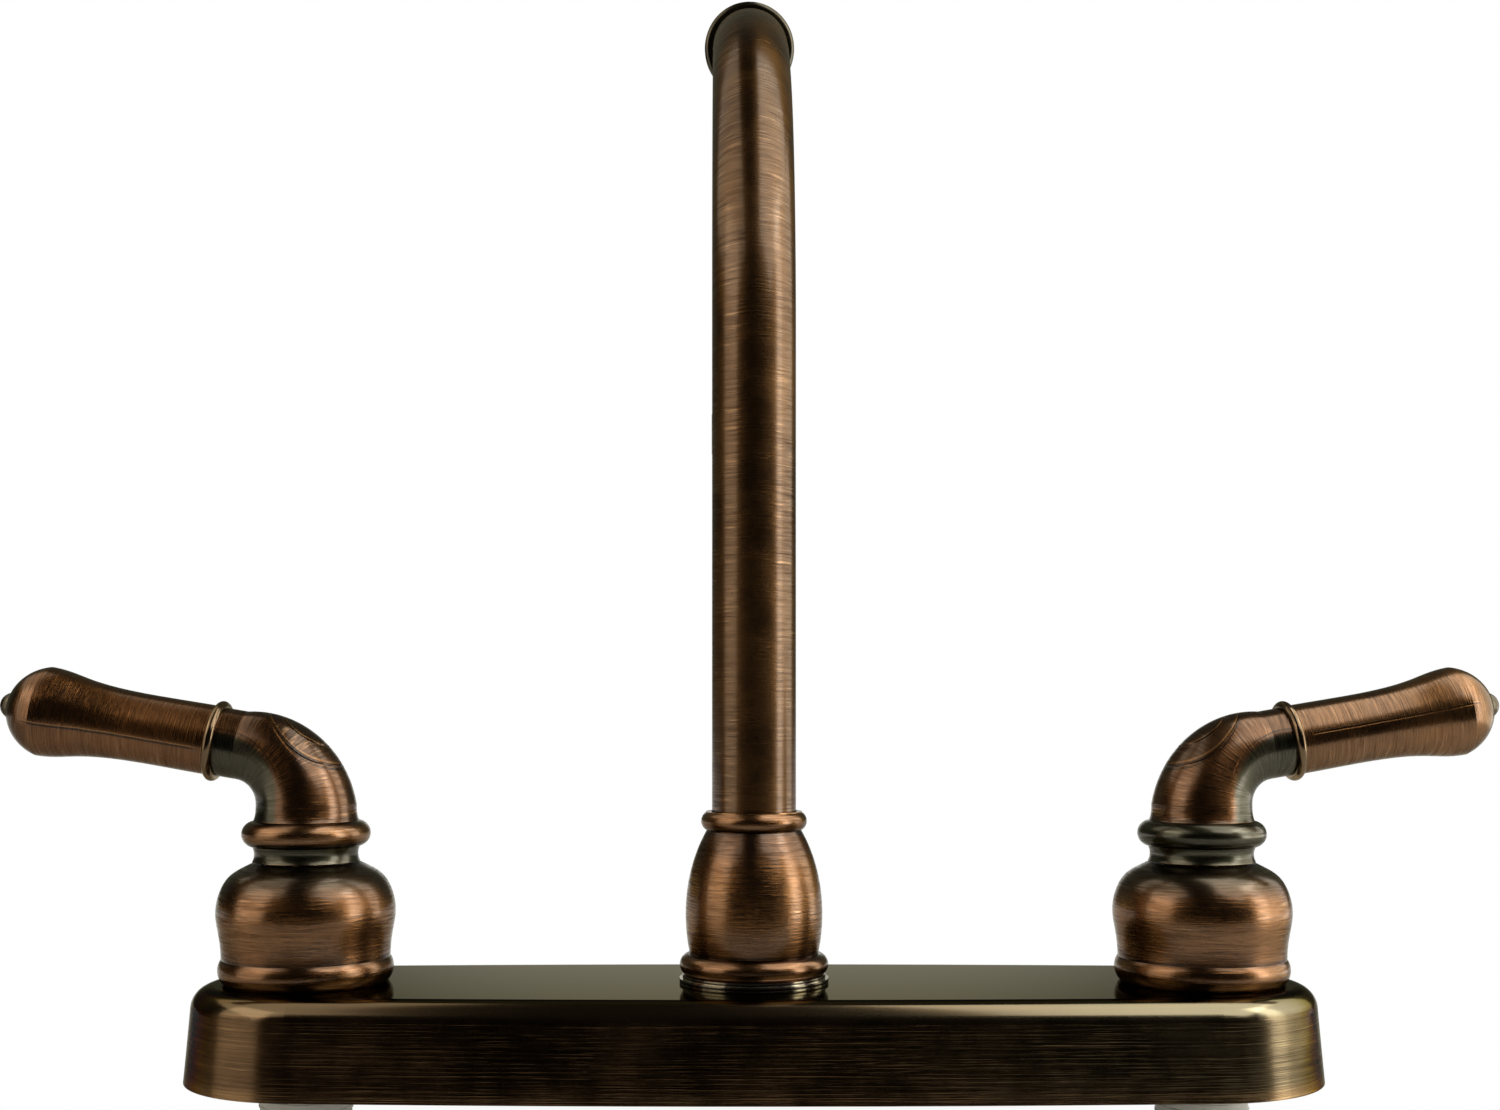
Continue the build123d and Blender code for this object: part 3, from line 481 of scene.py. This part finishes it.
def deck_bronze():
    """Deck cover: brown on the left to khaki on the right, with long brushed lines on the sides, a rim with a
    high polish and a smooth olive-brown top. The paler, lighter right-hand side is painted light from the
    right-hand lamps, the rim's paler colour is a painted highlight and the top's dark olive colour is a
    painted reflection."""
    foot_wear, edge_rubbing, rim_cover = 0.35, 0.4, 0.8
    rim_roughness, top_roughness, top_mark_roughness = 0.15, 0.07, 0.04
    material, tree, shader, place = new_material("deck_bronze")
    upward = split(tree, add_node(tree, "ShaderNodeTexCoord").outputs["Normal"])["Z"]
    top = smooth_range(tree, upward, 0.80, 0.985)
    rim = smooth_range(tree, upward, 0.15, 0.45)
    marks = use_group(tree, brush_marks, Vector=place, Lines=1900.0, Length=26.0, Contrast=2.0)["Marks"]
    top_marks = use_group(tree, brush_marks, Vector=mapped(tree, place, rotation=(radians(90), 0, 0)),
                          Lines=900.0, Length=12.0, Contrast=1.2)["Marks"]
    parts = split(tree, place)
    foot = use_group(tree, height_band, Height=parts["Z"], Low=-0.001, High=0.0022, Soft=0.0014)["Mask"]
    worn_foot = maths(tree, "MULTIPLY", foot, foot_wear)
    edges = maths(tree, "MULTIPLY", use_group(tree, edge_wear, Vector=place)["Mask"], edge_rubbing)
    # Paler and lighter to the right: painted light from the right-hand lamps.
    to_right = smooth_range(tree, parts["X"], 0.0, 0.115)
    sides = use_group(tree, rubbed_bronze, Vector=place, Marks=marks,
                      Wear=maths(tree, "MAXIMUM", edges, worn_foot), Dark=DECK_DARK,
                      Metal=mix_colour(tree, to_right, DECK_LEFT, DECK_RIGHT), Bright=DECK_RUBBED,
                      Smooth=0.17, Rough=0.26)
    # The rim's paler colour is a painted highlight where the edge faces the top lamps; its lower roughness is
    # a real polish.
    painted_rim_highlight = mix_colour(tree, to_right, DECK_RIM_LEFT, DECK_RIM_RIGHT)
    colour = mix_colour(tree, maths(tree, "MULTIPLY", rim, rim_cover), sides["Color"], painted_rim_highlight)
    # The top's darker olive colour is a painted reflection; its smoothness is real.
    colour = mix_colour(tree, top, colour, mix_colour(tree, top_marks, DECK_TOP_DARK, DECK_TOP_OLIVE))
    smooth_top = maths(tree, "MULTIPLY_ADD", top_marks, top_mark_roughness,
                       smooth_range(tree, top, 0.0, 1.0, rim_roughness, top_roughness))
    roughness = mix_value(tree, rim, sides["Roughness"], smooth_top)
    depth = maths(tree, "MULTIPLY", marks, maths(tree, "SUBTRACT", 1.0, rim))
    dress(tree, shader, colour, roughness, depth, 0.25)
    shader.inputs["Metallic"].default_value = 1.0
    shader.inputs["Specular Tint"].default_value = DECK_RIM_TINT
    shader.inputs["Coat Weight"].default_value = 0.12
    shader.inputs["Coat Roughness"].default_value = 0.08
    return material


def grip_zones(side):
    """Mould line along both sides of a grip, a little off its middle, a painted highlight just above it, a
    paler end and a dull button."""
    slant, line_height, line_wobble, edge_below = 0.215, 0.0004, 0.0003, 0.00030
    line_widths, edge_widths = (0.00008, 0.00036), (0.00004, 0.00020)

    def masks(tree, place):
        parts = split(tree, grip_frame(tree, place, side))
        off = maths(tree, "ADD", maths(tree, "MULTIPLY_ADD", parts["X"], slant, parts["Y"]), -line_height)
        wobble = maths(tree, "MULTIPLY_ADD", noise(tree, place, 400.0, 1.0), line_wobble, -line_wobble / 2)
        off = maths(tree, "ADD", off, wobble)
        run = use_group(tree, height_band, Height=parts["Z"], Low=0.009, High=0.047, Soft=0.001)["Mask"]
        line = smooth_range(tree, maths(tree, "ABSOLUTE", off), *line_widths, 1.0, 0.0)
        # Painted highlight along the upper side of the mould line.
        beside = smooth_range(tree, maths(tree, "ABSOLUTE", maths(tree, "ADD", off, edge_below)),
                              *edge_widths, 0.4, 0.0)
        pale_end = smooth_range(tree, parts["Z"], 0.0465, 0.0525, 0.0, 0.5)
        dull_button = smooth_range(tree, parts["Z"], 0.0526, 0.0532, 0.0, 0.8)
        return {"cut": [maths(tree, "MULTIPLY", line, run)], "glint": [maths(tree, "MULTIPLY", beside, run)],
                "patina": [pale_end, dull_button]}
    return masks


def elbow_zones(side):
    """Smooth, darkened inside of the bend, the mould line beside it and the rim of the cap's pocket."""
    border_start, border_slope = 0.0042, -0.14
    line_before, line_widths, pocket_gap, pocket_line = 0.0006, (0.00005, 0.00022), 0.0003, 0.00028

    def masks(tree, place):
        bend = elbow_frame(tree, place, side)
        run = maths(tree, "MAXIMUM", maths(tree, "SUBTRACT", bend["Length"], ELBOW_BASE), 0.0)
        border = maths(tree, "MULTIPLY_ADD", run, border_slope, border_start)
        past = maths(tree, "SUBTRACT", bend["Inward"], border)
        smooth_side = smooth_range(tree, past, -line_before, 0.0012, 0.0, 0.85)
        above_bead = smooth_range(tree, bend["Length"], 0.0572, 0.0584)
        line = smooth_range(tree, maths(tree, "ABSOLUTE", maths(tree, "ADD", past, line_before)),
                            *line_widths, 1.0, 0.0)
        far = smooth_range(tree, run, 0.008, 0.010)
        rim = use_group(tree, ring_line, Vector=lever_frame(tree, place, side),
                        Radius=CAP_RADIUS + pocket_gap, Width=pocket_line, Above=ELBOW_BASE)["Mask"]
        return {"patina": [maths(tree, "MULTIPLY", smooth_side, above_bead)],
                "cut": [maths(tree, "MULTIPLY", line, far), rim]}
    return masks


def cap_zones(side):
    """Dark engraved ring and edge, each with a thin painted highlight inside it."""
    cut_width, glint_width, glint_inset, glint_strength = 0.00034, 0.00020, 0.00040, 0.25

    def masks(tree, place):
        local = lever_frame(tree, place, side)
        cuts, glints = [], []
        for radius in (CAP_RING_RADIUS, CAP_RADIUS):
            cuts.append(use_group(tree, ring_line, Vector=local, Radius=radius, Width=cut_width)["Mask"])
            # A thin painted highlight just inside each dark line.
            inside = use_group(tree, ring_line, Vector=local, Radius=radius - glint_inset, Width=glint_width)
            glints.append(maths(tree, "MULTIPLY", inside["Mask"], glint_strength))
        return {"cut": cuts, "glint": glints}
    return masks


def worked_metal(name, colour, dull_colour, roughness):
    """Plain turned or drawn metal with fine tool marks and a little dulling."""
    material, tree, shader, place = new_material(name)
    marks = use_group(tree, brush_marks, Vector=place, Lines=1200.0, Length=120.0, Contrast=1.6)["Marks"]
    dull = smooth_range(tree, noise(tree, place, 90.0, 4.0, 0.6), 0.35, 0.7)
    wear = use_group(tree, edge_wear, Vector=place)["Mask"]
    worn = tuple(min(1, part * 1.25) for part in colour)
    shade = mix_colour(tree, maths(tree, "MULTIPLY", dull, 0.55), colour, dull_colour)
    shade = mix_colour(tree, maths(tree, "MULTIPLY", wear, 0.4), shade, worn)
    dress(tree, shader, shade, maths(tree, "MULTIPLY_ADD", dull, 0.16, roughness), marks, 0.2)
    shader.inputs["Metallic"].default_value = 1.0
    return material


def moulded(name, colour, shade, roughness, depth=0.12):
    """Moulded plastic, rubber or fired ceramic: fine grain and slight mottling."""
    material, tree, shader, place = new_material(name)
    cloud = noise(tree, place, 60.0, 3.0, 0.55)
    fine = noise(tree, place, 1800.0, 2.0, 0.6)
    wear = use_group(tree, edge_wear, Vector=place)["Mask"]
    worn = tuple(min(1, part + 0.12) for part in colour)
    tint = mix_colour(tree, smooth_range(tree, cloud, 0.3, 0.7), colour, shade)
    tint = mix_colour(tree, maths(tree, "MULTIPLY", wear, 0.25), tint, worn)
    dress(tree, shader, tint, maths(tree, "MULTIPLY_ADD", fine, 0.15, roughness), fine, depth)
    return material


# ---- Finishes of the pieces ----

def standing_finishes():
    spout = bronze("spout_bronze", grain=along_spout, lines=2200.0, length=110.0, contrast=2.2,
                   smooth=0.27, rough=0.42, metal=SPOUT_BRONZE)
    collar = bronze("collar_bronze", grain=along_spout, wear=0.8, patina_bands=((COLLAR_ALL, 0.8),))
    nut = bronze("nut_bronze",
                 worn_and_highlight_bands=((NUT_FOOT_BEAD, 0.12), (NUT_TOP_BEAD, 0.12), (NUT_BELLY, 0.25)),
                 # Painted shade in the grooves and on the shoulder.
                 painted_shade_bands=((NUT_FOOT_GROOVE, 0.9), (NUT_SHOULDER, 0.5), (NUT_TOP_GROOVE, 0.9)),
                 polished_bands=((NUT_FOOT, 0.1),))
    # Its step and top edges get bands of painted highlight in a near-white colour.
    base_ring = bronze("base_ring_bronze", worn_and_highlight_bands=((BASE_RING_STEP, 1.0), (BASE_RING_TOP, 1.0)),
                       polished_bands=((BASE_RING_WALL, 0.9),), wear=0.9, line_depth=0.1,
                       metal=BASE_RING_DARK, bright=BASE_RING_PAINTED_HIGHLIGHT)
    aerator = bronze("aerator_bronze", grain=along_spout, wear=0.8)
    return {"spout_tube": spout, "spout_collar": collar, "spout_nut": nut, "spout_base_ring": base_ring,
            "aerator_housing": aerator, "deck_cover": deck_bronze()}


def hub_and_lever_finishes(side, name):
    def on_elbow(tree, place):
        return elbow_frame(tree, place, side)["Vector"]

    def on_grip(tree, place):
        return grip_frame(tree, place, side)

    bead_copper = 0.22 if side < 0 else 0.0
    hub = bronze(
        f"{name}_hub_bronze", lines=2100.0, worn_and_highlight_bands=((HUB_FOOT_BEAD, 0.15), (HUB_BELLY, 0.2)),
        # Painted shade in the grooves, on the shoulder and in the mouth.
        painted_shade_bands=((HUB_FOOT_GROOVE, 0.8), (HUB_SHOULDER, 0.5), (HUB_MOUTH, 0.8)),
        polished_bands=((HUB_FOOT, 0.12),), patina_bands=((HUB_TOP, 0.6),))
    elbow = bronze(
        f"{name}_elbow_bronze", grain=on_elbow, zones=elbow_zones(side), metal=ELBOW_BRONZE,
        worn_and_highlight_bands=((ELBOW_BEAD, bead_copper),),
        # Painted shade in the grooves beside the bead.
        painted_shade_bands=((ELBOW_NECK_GROOVE, 0.8), (ELBOW_BEAD_GROOVE, 0.6)),
        patina_bands=((ELBOW_NECK[side], 0.85),))
    # Darker bronze on the cap is painted shade.
    cap = bronze(
        f"{name}_cap_bronze", grain=on_elbow, zones=cap_zones(side), lines=1800.0, contrast=3.0,
        smooth=0.26, rough=0.40, metal=CAP_BRONZE)
    ring = bronze(
        f"{name}_ring_bronze", grain=on_grip, wear=0.8, polished_bands=((LEVER_RING_ALL, 0.7),),
        metal=LEVER_RING_BRONZE)
    # Lighter bronze on the right grip is painted light.
    grip = bronze(
        f"{name}_grip_bronze", grain=on_grip, zones=grip_zones(side), lines=3000.0, contrast=1.9,
        metal=GRIP_BRONZE[side])
    return {f"{name}_hub_cover": hub, f"{name}_lever_elbow": elbow, f"{name}_elbow_cap": cap,
            f"{name}_lever_ring": ring, f"{name}_lever_grip": grip}


def finish_pieces():
    """Give every piece its material: its own, or else that of its slot. The shanks get their thread."""
    shown = standing_finishes()
    for side, name in ((-1, "left"), (1, "right")):
        shown.update(hub_and_lever_finishes(side, name))
    by_slot = {
        "bronze": shown["spout_tube"],
        "raw_brass": worked_metal("turned_brass", (0.62, 0.44, 0.19, 1), (0.34, 0.23, 0.10, 1), 0.26),
        "steel": worked_metal("bright_steel", (0.55, 0.55, 0.54, 1), (0.36, 0.36, 0.36, 1), 0.24),
        "plastic": moulded("moulded_plastic", (0.74, 0.74, 0.72, 1), (0.68, 0.68, 0.65, 1), 0.42),
        "rubber": moulded("black_rubber", (0.022, 0.022, 0.023, 1), (0.035, 0.034, 0.033, 1), 0.62, 0.25),
        "ceramic": moulded("fired_ceramic", (0.82, 0.80, 0.75, 1), (0.76, 0.74, 0.69, 1), 0.18, 0.03),
    }
    slots = {entry["node"]: entry["material_slot"] for entry in frame["record"]["subparts"]}
    for name, piece in frame["nodes"].items():
        material = shown.get(name, by_slot[slots[name]])
        for index in range(len(piece.material_slots)):
            piece.material_slots[index].material = material
    thread_shanks(by_slot["plastic"])


# ---- Supply threads ----

def make_supply_thread():
    """Geometry Nodes tree that winds two runs of thread round a plain shank and joins them to it."""
    tree = bpy.data.node_groups.new("supply_thread", "GeometryNodeTree")
    tree.interface.new_socket("Geometry", in_out="INPUT", socket_type="NodeSocketGeometry")
    for label, kind in (("Axis", "Vector"), ("Root Radius", "Float"), ("Crest Radius", "Float"),
                        ("Pitch", "Float"), ("Hose Run Low", "Float"), ("Hose Run Length", "Float"),
                        ("Nut Run Low", "Float"), ("Nut Run Length", "Float"), ("Material", "Material")):
        tree.interface.new_socket(label, in_out="INPUT", socket_type="NodeSocket" + kind)
    tree.interface.new_socket("Geometry", in_out="OUTPUT", socket_type="NodeSocketGeometry")
    given = tree.nodes.new("NodeGroupInput").outputs
    result = tree.nodes.new("NodeGroupOutput")

    depth = maths(tree, "SUBTRACT", given["Crest Radius"], given["Root Radius"])
    tooth = add_node(tree, "GeometryNodeCurvePrimitiveQuadrilateral", mode="TRAPEZOID")
    feed(tree, tooth.inputs["Height"], maths(tree, "MULTIPLY", depth, TOOTH_SUNK))
    feed(tree, tooth.inputs["Bottom Width"], maths(tree, "MULTIPLY", given["Pitch"], TOOTH_FOOT))
    feed(tree, tooth.inputs["Top Width"], maths(tree, "MULTIPLY", given["Pitch"], TOOTH_CREST))
    tooth.inputs["Offset"].default_value = 0.0
    outward = add_node(tree, "GeometryNodeTransform",
                       {"Geometry": tooth.outputs[0], "Rotation": (0, 0, radians(90))}).outputs[0]
    middle = maths(tree, "SUBTRACT", given["Crest Radius"], maths(tree, "MULTIPLY", depth, TOOTH_SUNK / 2))

    joined = tree.nodes.new("GeometryNodeJoinGeometry")
    for run in ("Hose Run", "Nut Run"):
        length = given[run + " Length"]
        winding = add_node(tree, "GeometryNodeCurveSpiral", {
            "Resolution": 40, "Rotations": maths(tree, "DIVIDE", length, given["Pitch"]),
            "Start Radius": middle, "End Radius": middle, "Height": length}).outputs[0]
        upright = add_node(tree, "GeometryNodeSetCurveNormal", {"Curve": winding}, mode="Z_UP").outputs[0]
        ridge = add_node(tree, "GeometryNodeCurveToMesh",
                         {"Curve": upright, "Profile Curve": outward, "Fill Caps": True}).outputs[0]
        lift = add_node(tree, "ShaderNodeCombineXYZ", {"Z": given[run + " Low"]}).outputs[0]
        start = vector_maths(tree, "ADD", given["Axis"], lift)
        put = add_node(tree, "GeometryNodeTransform", {"Geometry": ridge, "Translation": start}).outputs[0]
        tree.links.new(put, joined.inputs[0])
    tree.links.new(given["Geometry"], joined.inputs[0])
    real = add_node(tree, "GeometryNodeRealizeInstances", {"Geometry": joined.outputs[0]}).outputs[0]
    finish = add_node(tree, "GeometryNodeSetMaterial", {"Geometry": real, "Material": given["Material"]})
    tree.links.new(finish.outputs[0], result.inputs[0])
    return tree


def plain_shank(node, side):
    """Copy of a valve body's mesh with the shank drawn in to the root of its thread."""
    merge_distance, above_top, beyond_radius = 1e-6, 0.0002, 0.0001
    shape = bmesh.new()
    shape.from_mesh(frame["nodes"][node].data)
    bmesh.ops.remove_doubles(shape, verts=shape.verts, dist=merge_distance)
    for vert in shape.verts:
        out = Vector((vert.co.x - side * VALVE_X, vert.co.y))
        on_shank = THREAD_ROOT < out.length < SHANK_RADIUS + beyond_radius
        if on_shank and vert.co.z < SHANK_TOP + above_top:
            out *= THREAD_ROOT / out.length
            vert.co.x, vert.co.y = side * VALVE_X + out.x, out.y
    mesh = bpy.data.meshes.new(node + "_threaded")
    shape.to_mesh(mesh)
    shape.free()
    for face in mesh.polygons:
        face.use_smooth = True
    mesh.set_sharp_from_angle(angle=radians(30))
    return mesh


def thread_shanks(plastic):
    """Replace each valve body by a copy with real thread on its shank."""
    tree = make_supply_thread()
    relief_low, relief_high = THREAD_RELIEF
    half_tooth = THREAD_PITCH / 2
    sizes = {
        "Root Radius": THREAD_ROOT, "Crest Radius": SHANK_RADIUS, "Pitch": THREAD_PITCH,
        "Hose Run Low": SHANK_BOTTOM + half_tooth,
        "Hose Run Length": relief_low - SHANK_BOTTOM - THREAD_PITCH,
        "Nut Run Low": relief_high + half_tooth, "Nut Run Length": -relief_high - THREAD_PITCH,
        "Material": plastic,
    }
    identifiers = {item.name: item.identifier for item in tree.interface.items_tree if item.in_out == "INPUT"}
    for side, name in ((-1, "left"), (1, "right")):
        node = f"{name}_valve_body"
        draft = bpy.data.objects.new(node + "_draft", plain_shank(node, side))
        bpy.context.scene.collection.objects.link(draft)
        modifier = draft.modifiers.new("thread", "NODES")
        modifier.node_group = tree
        modifier[identifiers["Axis"]] = (side * VALVE_X, 0.0, 0.0)
        for label, value in sizes.items():
            modifier[identifiers[label]] = value
        bpy.context.view_layer.update()
        evaluated = draft.evaluated_get(bpy.context.evaluated_depsgraph_get())
        mesh = bpy.data.meshes.new_from_object(evaluated)
        bpy.data.objects.remove(draft)
        body = bpy.data.objects.new(node + "_threaded", mesh)
        bpy.context.scene.collection.objects.link(body)
        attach(body, "deck")
        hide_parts(node)


# ---- Studio ----

def make_camera():
    """The photograph's camera: level, a little above the hub covers."""
    picture_width = 1500
    middle_left, middle_up = -4, 145    # pixels from the line of sight to the picture's middle
    focal_length, sensor_width = 44.4, 36.0
    eye = (0, -0.420, 0.0851)
    data = bpy.data.cameras.new("camera")
    data.lens = focal_length
    data.sensor_width = sensor_width
    data.shift_x = middle_left / picture_width
    data.shift_y = middle_up / picture_width
    data.clip_start = 0.01
    camera = bpy.data.objects.new("camera", data)
    camera.location = eye
    camera.rotation_euler = (radians(90), 0, 0)
    bpy.context.scene.collection.objects.link(camera)
    bpy.context.scene.camera = camera


def soft_light(name, place, target, width, height, power, colour, turn=0.0):
    """Softbox that faces its target, turned in its own plane by an angle in radians."""
    data = bpy.data.lights.new(name, "AREA")
    data.shape = "RECTANGLE"
    data.size = width
    data.size_y = height
    data.energy = power
    data.color = colour
    lamp = bpy.data.objects.new(name, data)
    lamp.location = place
    aimed = (Vector(target) - Vector(place)).to_track_quat("-Z", "Y")
    lamp.rotation_euler = (aimed @ Quaternion((0, 0, 1), turn)).to_euler()
    bpy.context.scene.collection.objects.link(lamp)


def mirrored_rays(tree, rays):
    """1 for a ray that reached the place by a reflection or through glass."""
    return maths(tree, "MAXIMUM", rays["Is Glossy Ray"], rays["Is Transmission Ray"])


def make_world():
    """White backdrop behind the faucet, a dim room on the camera's side."""
    room_turn, backdrop_edge = (0.2, 0.8), (0.948, 0.99)    # how far a direction points away along Y
    world = bpy.data.worlds.new("studio")
    world.use_nodes = True
    tree = world.node_tree
    background = tree.nodes["Background"]
    away = split(tree, add_node(tree, "ShaderNodeTexCoord").outputs["Generated"])["Y"]
    room = mix_colour(tree, smooth_range(tree, away, *room_turn), ROOM_FRONT, ROOM_BACK)
    backdrop = smooth_range(tree, away, *backdrop_edge)
    rays = tree.nodes.new("ShaderNodeLightPath").outputs
    mirrored = maths(tree, "MULTIPLY", mirrored_rays(tree, rays), backdrop)
    seen = maths(tree, "MAXIMUM", rays["Is Camera Ray"], mirrored)
    feed(tree, background.inputs["Color"], mix_colour(tree, seen, room, BACKDROP))
    background.inputs["Strength"].default_value = 1.0
    bpy.context.scene.world = world


def make_floor():
    """White table under the faucet: it takes the shadow near by and melts into the backdrop."""
    side, front, back = 2.5, -0.30, 6.0
    shadow_reach, mirrored_from, near_glow = (0.16, 0.29), (0.1, 0.5), 0.85
    mesh = bpy.data.meshes.new("floor")
    mesh.from_pydata([(-side, front, FLOOR_Z), (side, front, FLOOR_Z), (side, back, FLOOR_Z),
                      (-side, back, FLOOR_Z)], [], [(0, 1, 2, 3)])
    floor = bpy.data.objects.new("floor", mesh)
    bpy.context.scene.collection.objects.link(floor)
    material, tree, shader, place = new_material("floor_white")
    output = tree.nodes["Material Output"]
    shader.inputs["Base Color"].default_value = FLOOR_GREY
    shader.inputs["Roughness"].default_value = 0.9
    shader.inputs["Specular IOR Level"].default_value = 0.0
    distance = add_node(tree, "ShaderNodeVectorMath", {0: place}, operation="LENGTH").outputs["Value"]
    far = smooth_range(tree, distance, *shadow_reach)
    rays = tree.nodes.new("ShaderNodeLightPath").outputs
    direct = maths(tree, "MULTIPLY", rays["Is Camera Ray"],
                   maths(tree, "MULTIPLY_ADD", far, 1.0 - near_glow, near_glow))
    behind = smooth_range(tree, split(tree, place)["Y"], *mirrored_from)
    mirrored = maths(tree, "MULTIPLY", behind, mirrored_rays(tree, rays))
    glow = add_node(tree, "ShaderNodeEmission", {"Color": BACKDROP, "Strength": 1.0})
    blend = add_node(tree, "ShaderNodeMixShader")
    feed(tree, blend.inputs[0], maths(tree, "MAXIMUM", direct, mirrored))
    feed(tree, blend.inputs[1], shader.outputs[0])
    feed(tree, blend.inputs[2], glow.outputs[0])
    feed(tree, output.inputs["Surface"], blend.outputs[0])
    mesh.materials.append(material)


def make_studio():
    make_camera()
    make_world()
    make_floor()
    soft_light("right_side_softbox", (0.62, 0.06, 0.27), (0, 0.03, 0.12), 0.75, 0.66, 4.0, PALE_LIGHT)
    soft_light("right_strip_softbox", (0.56, -0.16, 0.27), (0, 0, 0.12), 0.16, 0.66, 1.0, PALE_LIGHT)
    soft_light("right_top_softbox", (0.48, -0.28, 0.83), (0, -0.28, 0.10), 1.25, 0.70, 8.0, PALE_LIGHT, 0.2)
    soft_light("left_side_softbox", (-0.61, -0.26, 0.27), (0, -0.02, 0.12), 0.48, 0.66, 1.3, WARM_LIGHT)
    soft_light("left_top_softbox", (-0.57, -0.15, 0.65), (-0.155, -0.15, 0.10), 1.25, 0.66, 3.0, WARM_LIGHT,
               -0.2)
    bpy.context.scene.view_settings.view_transform = "Standard"


finish_pieces()
make_studio()
